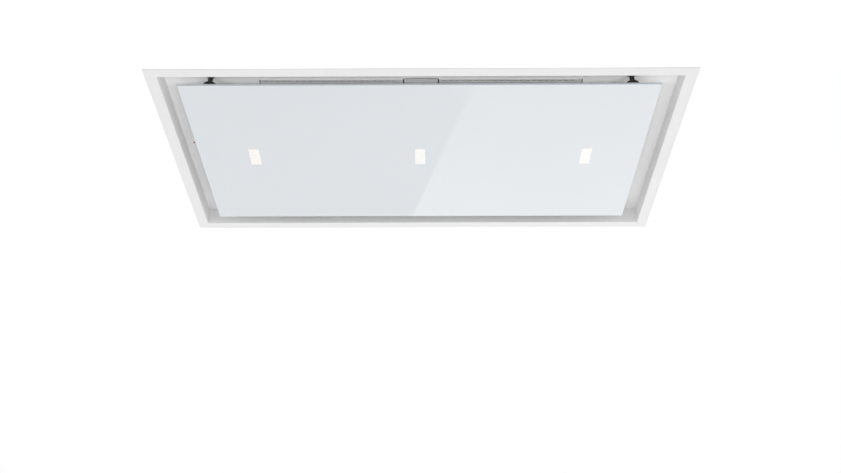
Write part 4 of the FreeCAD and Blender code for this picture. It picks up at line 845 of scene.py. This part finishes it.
def pressed_beads(name, starts, ends, axis, facing, width, height, body="housing"):
    """Half-round beads between points of a face: height h sin a across, with both ends rounded off."""
    starts, ends = np.asarray(starts, float), np.asarray(ends, float)
    taper = np.radians(np.linspace(8, 90, BEAD_STEPS))
    scale = np.concatenate([np.sin(taper), np.sin(taper)[::-1]])
    reach = np.linalg.norm(ends - starts, axis=1)
    shift = width * (1 - np.cos(taper))
    near_end = np.broadcast_to(shift, (len(starts), BEAD_STEPS))
    along = np.concatenate([near_end, reach[:, None] - shift[::-1]], axis=1)
    across = np.linspace(0, 2 * np.pi, TUBE_SIDES, endpoint=False)
    rise = np.where(np.sin(across) > 0, height * np.sin(across), BEAD_ROOT * np.sin(across))
    way = (ends - starts) / reach[:, None]
    normal = np.zeros(3)
    normal[AXES[axis][0]] = facing
    side = np.cross(normal, way)
    points = (starts[:, None, None, :] + along[:, :, None, None] * way[:, None, None, :]
              + (scale[:, None] * width / 2 * np.cos(across))[None, :, :, None] * side[:, None, None, :]
              + (scale[:, None] * rise)[None, :, :, None] * normal)
    faces = tube_faces(len(starts), 2 * BEAD_STEPS, TUBE_SIDES)
    return riding_piece(name, points.reshape(-1, 3), faces, body, crease=40)


zinc_sheet = galvanised("spangled_zinc_sheet", (0.70, 0.715, 0.725), (0.60, 0.615, 0.63))
dress(zinc_sheet, "housing_wall_front", "housing_wall_back", "housing_wall_left", "housing_wall_right",
      "housing_top_plate")
plate_low, plate_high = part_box("housing_top_plate")
BEAD_WIDTH = 9 * MM
BEAD_HEIGHT = 2.2 * MM
BEAD_LEVELS = (-0.095, -0.165)
BEAD_SPANS = ((-0.50, -0.04), (0.04, 0.50))
SIDE_BEAD_HALF = 0.22
RIVET_RADIUS = 3.2 * MM
RIVET_HEIGHT = 1.3 * MM
RIVET_LEVELS = (-0.19, -0.14, -0.09, -0.04)
LAP_MIDDLE = 8 * MM
long_faces = {"front": (plate_low.y, -1), "back": (plate_high.y, 1)}
end_faces = {"left": (plate_low.x, -1), "right": (plate_high.x, 1)}
trim = []
for name, (y, facing) in long_faces.items():
    rows = [(x0, x1, z) for z in BEAD_LEVELS for x0, x1 in BEAD_SPANS]
    trim.append(pressed_beads(f"wall_beads_{name}", [(x0, y, z) for x0, _, z in rows],
                              [(x1, y, z) for _, x1, z in rows], "y", facing, BEAD_WIDTH, BEAD_HEIGHT))
    spots = [(x, y, z) for x in (plate_low.x + LAP_MIDDLE, plate_high.x - LAP_MIDDLE) for z in RIVET_LEVELS]
    trim.append(dome_heads(f"corner_rivets_{name}", spots, "y", facing, RIVET_RADIUS, RIVET_HEIGHT))
for name, (x, facing) in end_faces.items():
    trim.append(pressed_beads(f"wall_beads_{name}", [(x, -SIDE_BEAD_HALF, z) for z in BEAD_LEVELS],
                              [(x, SIDE_BEAD_HALF, z) for z in BEAD_LEVELS], "x", facing,
                              BEAD_WIDTH, BEAD_HEIGHT))
PLATE_BEADS = [(-0.40, -0.25, -0.13, -0.25), (0.13, -0.25, 0.40, -0.25), (-0.40, -0.13, -0.14, -0.13),
               (0.14, -0.13, 0.40, -0.13), (-0.40, 0.0, -0.14, 0.0), (0.14, 0.0, 0.40, 0.0),
               (-0.36, 0.13, -0.14, 0.13), (0.14, 0.13, 0.40, 0.13), (-0.36, 0.25, -0.13, 0.25),
               (0.13, 0.25, 0.40, 0.25)]
trim.append(pressed_beads("top_beads", [(x, y, plate_high.z) for x, y, _, _ in PLATE_BEADS],
                          [(x, y, plate_high.z) for _, _, x, y in PLATE_BEADS], "z", 1,
                          BEAD_WIDTH, BEAD_HEIGHT))
EDGE_RIVETS = 10
edge_x = np.linspace(plate_low.x + LAP_MIDDLE, plate_high.x - LAP_MIDDLE, EDGE_RIVETS)
edge_y = np.linspace(plate_low.y + LAP_MIDDLE, plate_high.y - LAP_MIDDLE, EDGE_RIVETS // 2)[1:-1]
edge_spots = [(x, y, plate_high.z) for y in (plate_low.y + LAP_MIDDLE, plate_high.y - LAP_MIDDLE)
              for x in edge_x] + [(x, y, plate_high.z) for x in (edge_x[0], edge_x[-1]) for y in edge_y]
trim.append(dome_heads("top_rivets", edge_spots, "z", 1, RIVET_RADIUS, RIVET_HEIGHT))
for piece in trim:
    piece.data.materials.append(zinc_sheet)

# ---------------------------------------------------------------- Suspension rails
# Z-shaped rails of the same galvanised sheet, bolted to the top plate with plated hexagon bolts.
dress(zinc_sheet, "suspension_rail_left", "suspension_rail_right")
dress(bolt_zinc, "rail_bolts", "collar_screws", "flap_hinge_pin", "motor_bracket", "bracket_screws")

# ---------------------------------------------------------------- Duct collar and flaps
# A spun steel spigot on a square base. A rolled bead stops the duct, the rim is rolled, and a black
# rubber lip seals the joint. The two aluminium flaps inside have a pressed bead each, and lift with the
# air.
dress(zinc_sheet, "duct_collar")
collar_low, collar_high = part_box("duct_collar")
SPIGOT_RADIUS = 74.5 * MM
ROLL = 1.0 * MM
STOP_RISE = 9 * MM
LIP_DROP = 14 * MM
LIP_OUTLINE = MM * np.array([(-0.2, -2.5), (0.4, -2.4), (1.4, -1.2), (0.5, -1.0), (0.4, 2.4), (-0.2, 2.5)])
origin = (0.0, 0.0, 0.0)
for name, level in (("stop_bead", collar_low.z + STOP_RISE), ("rolled_rim", collar_high.z - ROLL)):
    roll = revolved(name, [arc((SPIGOT_RADIUS, level), ROLL, -90, 90, 7)], origin, "housing", segments=96)
    roll.data.materials.append(zinc_sheet)
lip = revolved("duct_seal_lip", [LIP_OUTLINE + (SPIGOT_RADIUS, collar_high.z - LIP_DROP)], origin, "housing",
               segments=96)
lip.data.materials.append(dark_rubber_and_shade)
dress(dark_rubber_and_shade, "outlet_gasket")
flap_sheet = brushed_aluminium("flap_sheet", (0.80, 0.80, 0.81), (0.72, 0.72, 0.73))
dress(flap_sheet, "flap_front", "flap_back")
FLAP_BEAD_HALF = 38 * MM
FLAP_BEAD_WIDTH = 5 * MM
FLAP_BEAD_HEIGHT = 1.1 * MM
FLAP_BEAD_ROWS = (22 * MM, 40 * MM)
FLAP_SHEET = 0.8 * MM
for name, facing in (("front", -1), ("back", 1)):
    flap_low, flap_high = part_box(f"flap_{name}")
    flap_top = (flap_low.z + flap_high.z) / 2 + FLAP_SHEET / 2
    rows = [facing * row for row in FLAP_BEAD_ROWS]
    beads = pressed_beads(f"flap_beads_{name}", [(-FLAP_BEAD_HALF, y, flap_top) for y in rows],
                          [(FLAP_BEAD_HALF, y, flap_top) for y in rows], "z", 1,
                          FLAP_BEAD_WIDTH, FLAP_BEAD_HEIGHT, f"{name}_flap")
    beads.data.materials.append(flap_sheet)

# ---------------------------------------------------------------- Blower
# A galvanised scroll round a two-sided wheel, with an enamelled motor in its left inlet.
dress(zinc_sheet, "scroll_wrap", "scroll_side_left", "scroll_side_right")
dress(galvanised("wheel_zinc", (0.74, 0.75, 0.76), (0.66, 0.67, 0.68)), "impeller_wheel")
dress(powder_coat("motor_enamel", (0.035, 0.035, 0.038), (0.022, 0.022, 0.024), 0.35), "motor_body")
dress(ground_steel, "motor_bearings", "motor_shaft")

# ---------------------------------------------------------------- Controls
# A galvanised box on the tray holds the control board, the mains terminals and the motor's capacitor. The
# receiver on the tray's left looks down through a red lens.
dress(zinc_sheet, "control_box_base", "control_box_lid")
dress(moulded_plastic("natural_nylon", (0.84, 0.83, 0.78), (0.78, 0.77, 0.72), 0.5), "terminal_block")
dress(moulded_plastic("capacitor_case", (0.80, 0.80, 0.78), (0.74, 0.74, 0.72), 0.35), "motor_capacitor")
red_lens = moulded_plastic("red_receiver_lens", (0.50, 0.030, 0.018), (0.38, 0.02, 0.012), 0.18, 0.6)
dress(red_lens, "remote_receiver")
board_green, board_tree, board_shader = new_finish("solder_mask", coat=0.4)
tracks, track_place = add_nodes(board_tree, "ShaderNodeTexBrick", "ShaderNodeTexCoord")
tracks.inputs["Color1"].default_value = (0.02, 0.20, 0.08, 1.0)
tracks.inputs["Color2"].default_value = (0.03, 0.26, 0.11, 1.0)
tracks.inputs["Mortar"].default_value = (0.10, 0.38, 0.18, 1.0)
tracks.inputs["Scale"].default_value = 120.0
board_tree.links.new(track_place.outputs["Object"], tracks.inputs["Vector"])
board_tree.links.new(tracks.outputs["Color"], board_shader.inputs["Base Color"])
board_gloss = spread(board_tree, noise_layer(board_tree, 300.0), 0.3, 0.4)
board_tree.links.new(board_gloss, board_shader.inputs["Roughness"])
dress(board_green, "control_board")

# ---------------------------------------------------------------- Cable gland
# A black nylon gland for the mains lead: a threaded body through the top plate, a flange and a ribbed
# dome nut.
gland_low, gland_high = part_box("cable_gland")
middle = (gland_low + gland_high) / 2
GLAND_BORE = 4.5 * MM
THREAD_CREST = 8 * MM
THREAD_ROOT = 7.3 * MM
GLAND_FLANGE = 10.8 * MM
THREAD_TURNS = 6
THREAD_RUNOUT = 0.5 * MM
FLANGE_HEIGHT = 4 * MM
NUT_RADIUS = 9.6 * MM
NUT_TOP_RADIUS = 9.4 * MM
NUT_STEP = 0.2 * MM
NUT_SKIRT = 10 * MM
NUT_ROUND = 3 * MM
NUT_ROUND_PLACE = 6.4 * MM
RIB_COUNT = 24
RIB_DEPTH = 0.018
flange_z = plate_high.z
thread_z = np.linspace(gland_low.z + THREAD_RUNOUT, flange_z - THREAD_RUNOUT, 2 * THREAD_TURNS + 1)
thread_r = np.where(np.arange(2 * THREAD_TURNS + 1) % 2 == 0, THREAD_ROOT, THREAD_CREST)
outline = [
    np.array([(GLAND_BORE, gland_low.z), (THREAD_ROOT, gland_low.z)]),
    np.column_stack([thread_r, thread_z]),
    np.array([(GLAND_FLANGE, flange_z), (GLAND_FLANGE, flange_z + FLANGE_HEIGHT),
              (NUT_RADIUS, flange_z + FLANGE_HEIGHT + NUT_STEP), (NUT_TOP_RADIUS, flange_z + NUT_SKIRT)]),
    arc((NUT_ROUND_PLACE, gland_high.z - NUT_ROUND), NUT_ROUND, 15, 80, 5),
    np.array([(GLAND_BORE, gland_high.z)]),
]
gland = revolved("ribbed_gland", outline, (middle.x, middle.y, 0.0), "housing", segments=96, lobes=RIB_COUNT,
                 depth=RIB_DEPTH)
gland.data.materials.append(moulded_plastic("gland_nylon", (0.05, 0.05, 0.052), (0.035, 0.035, 0.036), 0.45))
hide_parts("cable_gland")
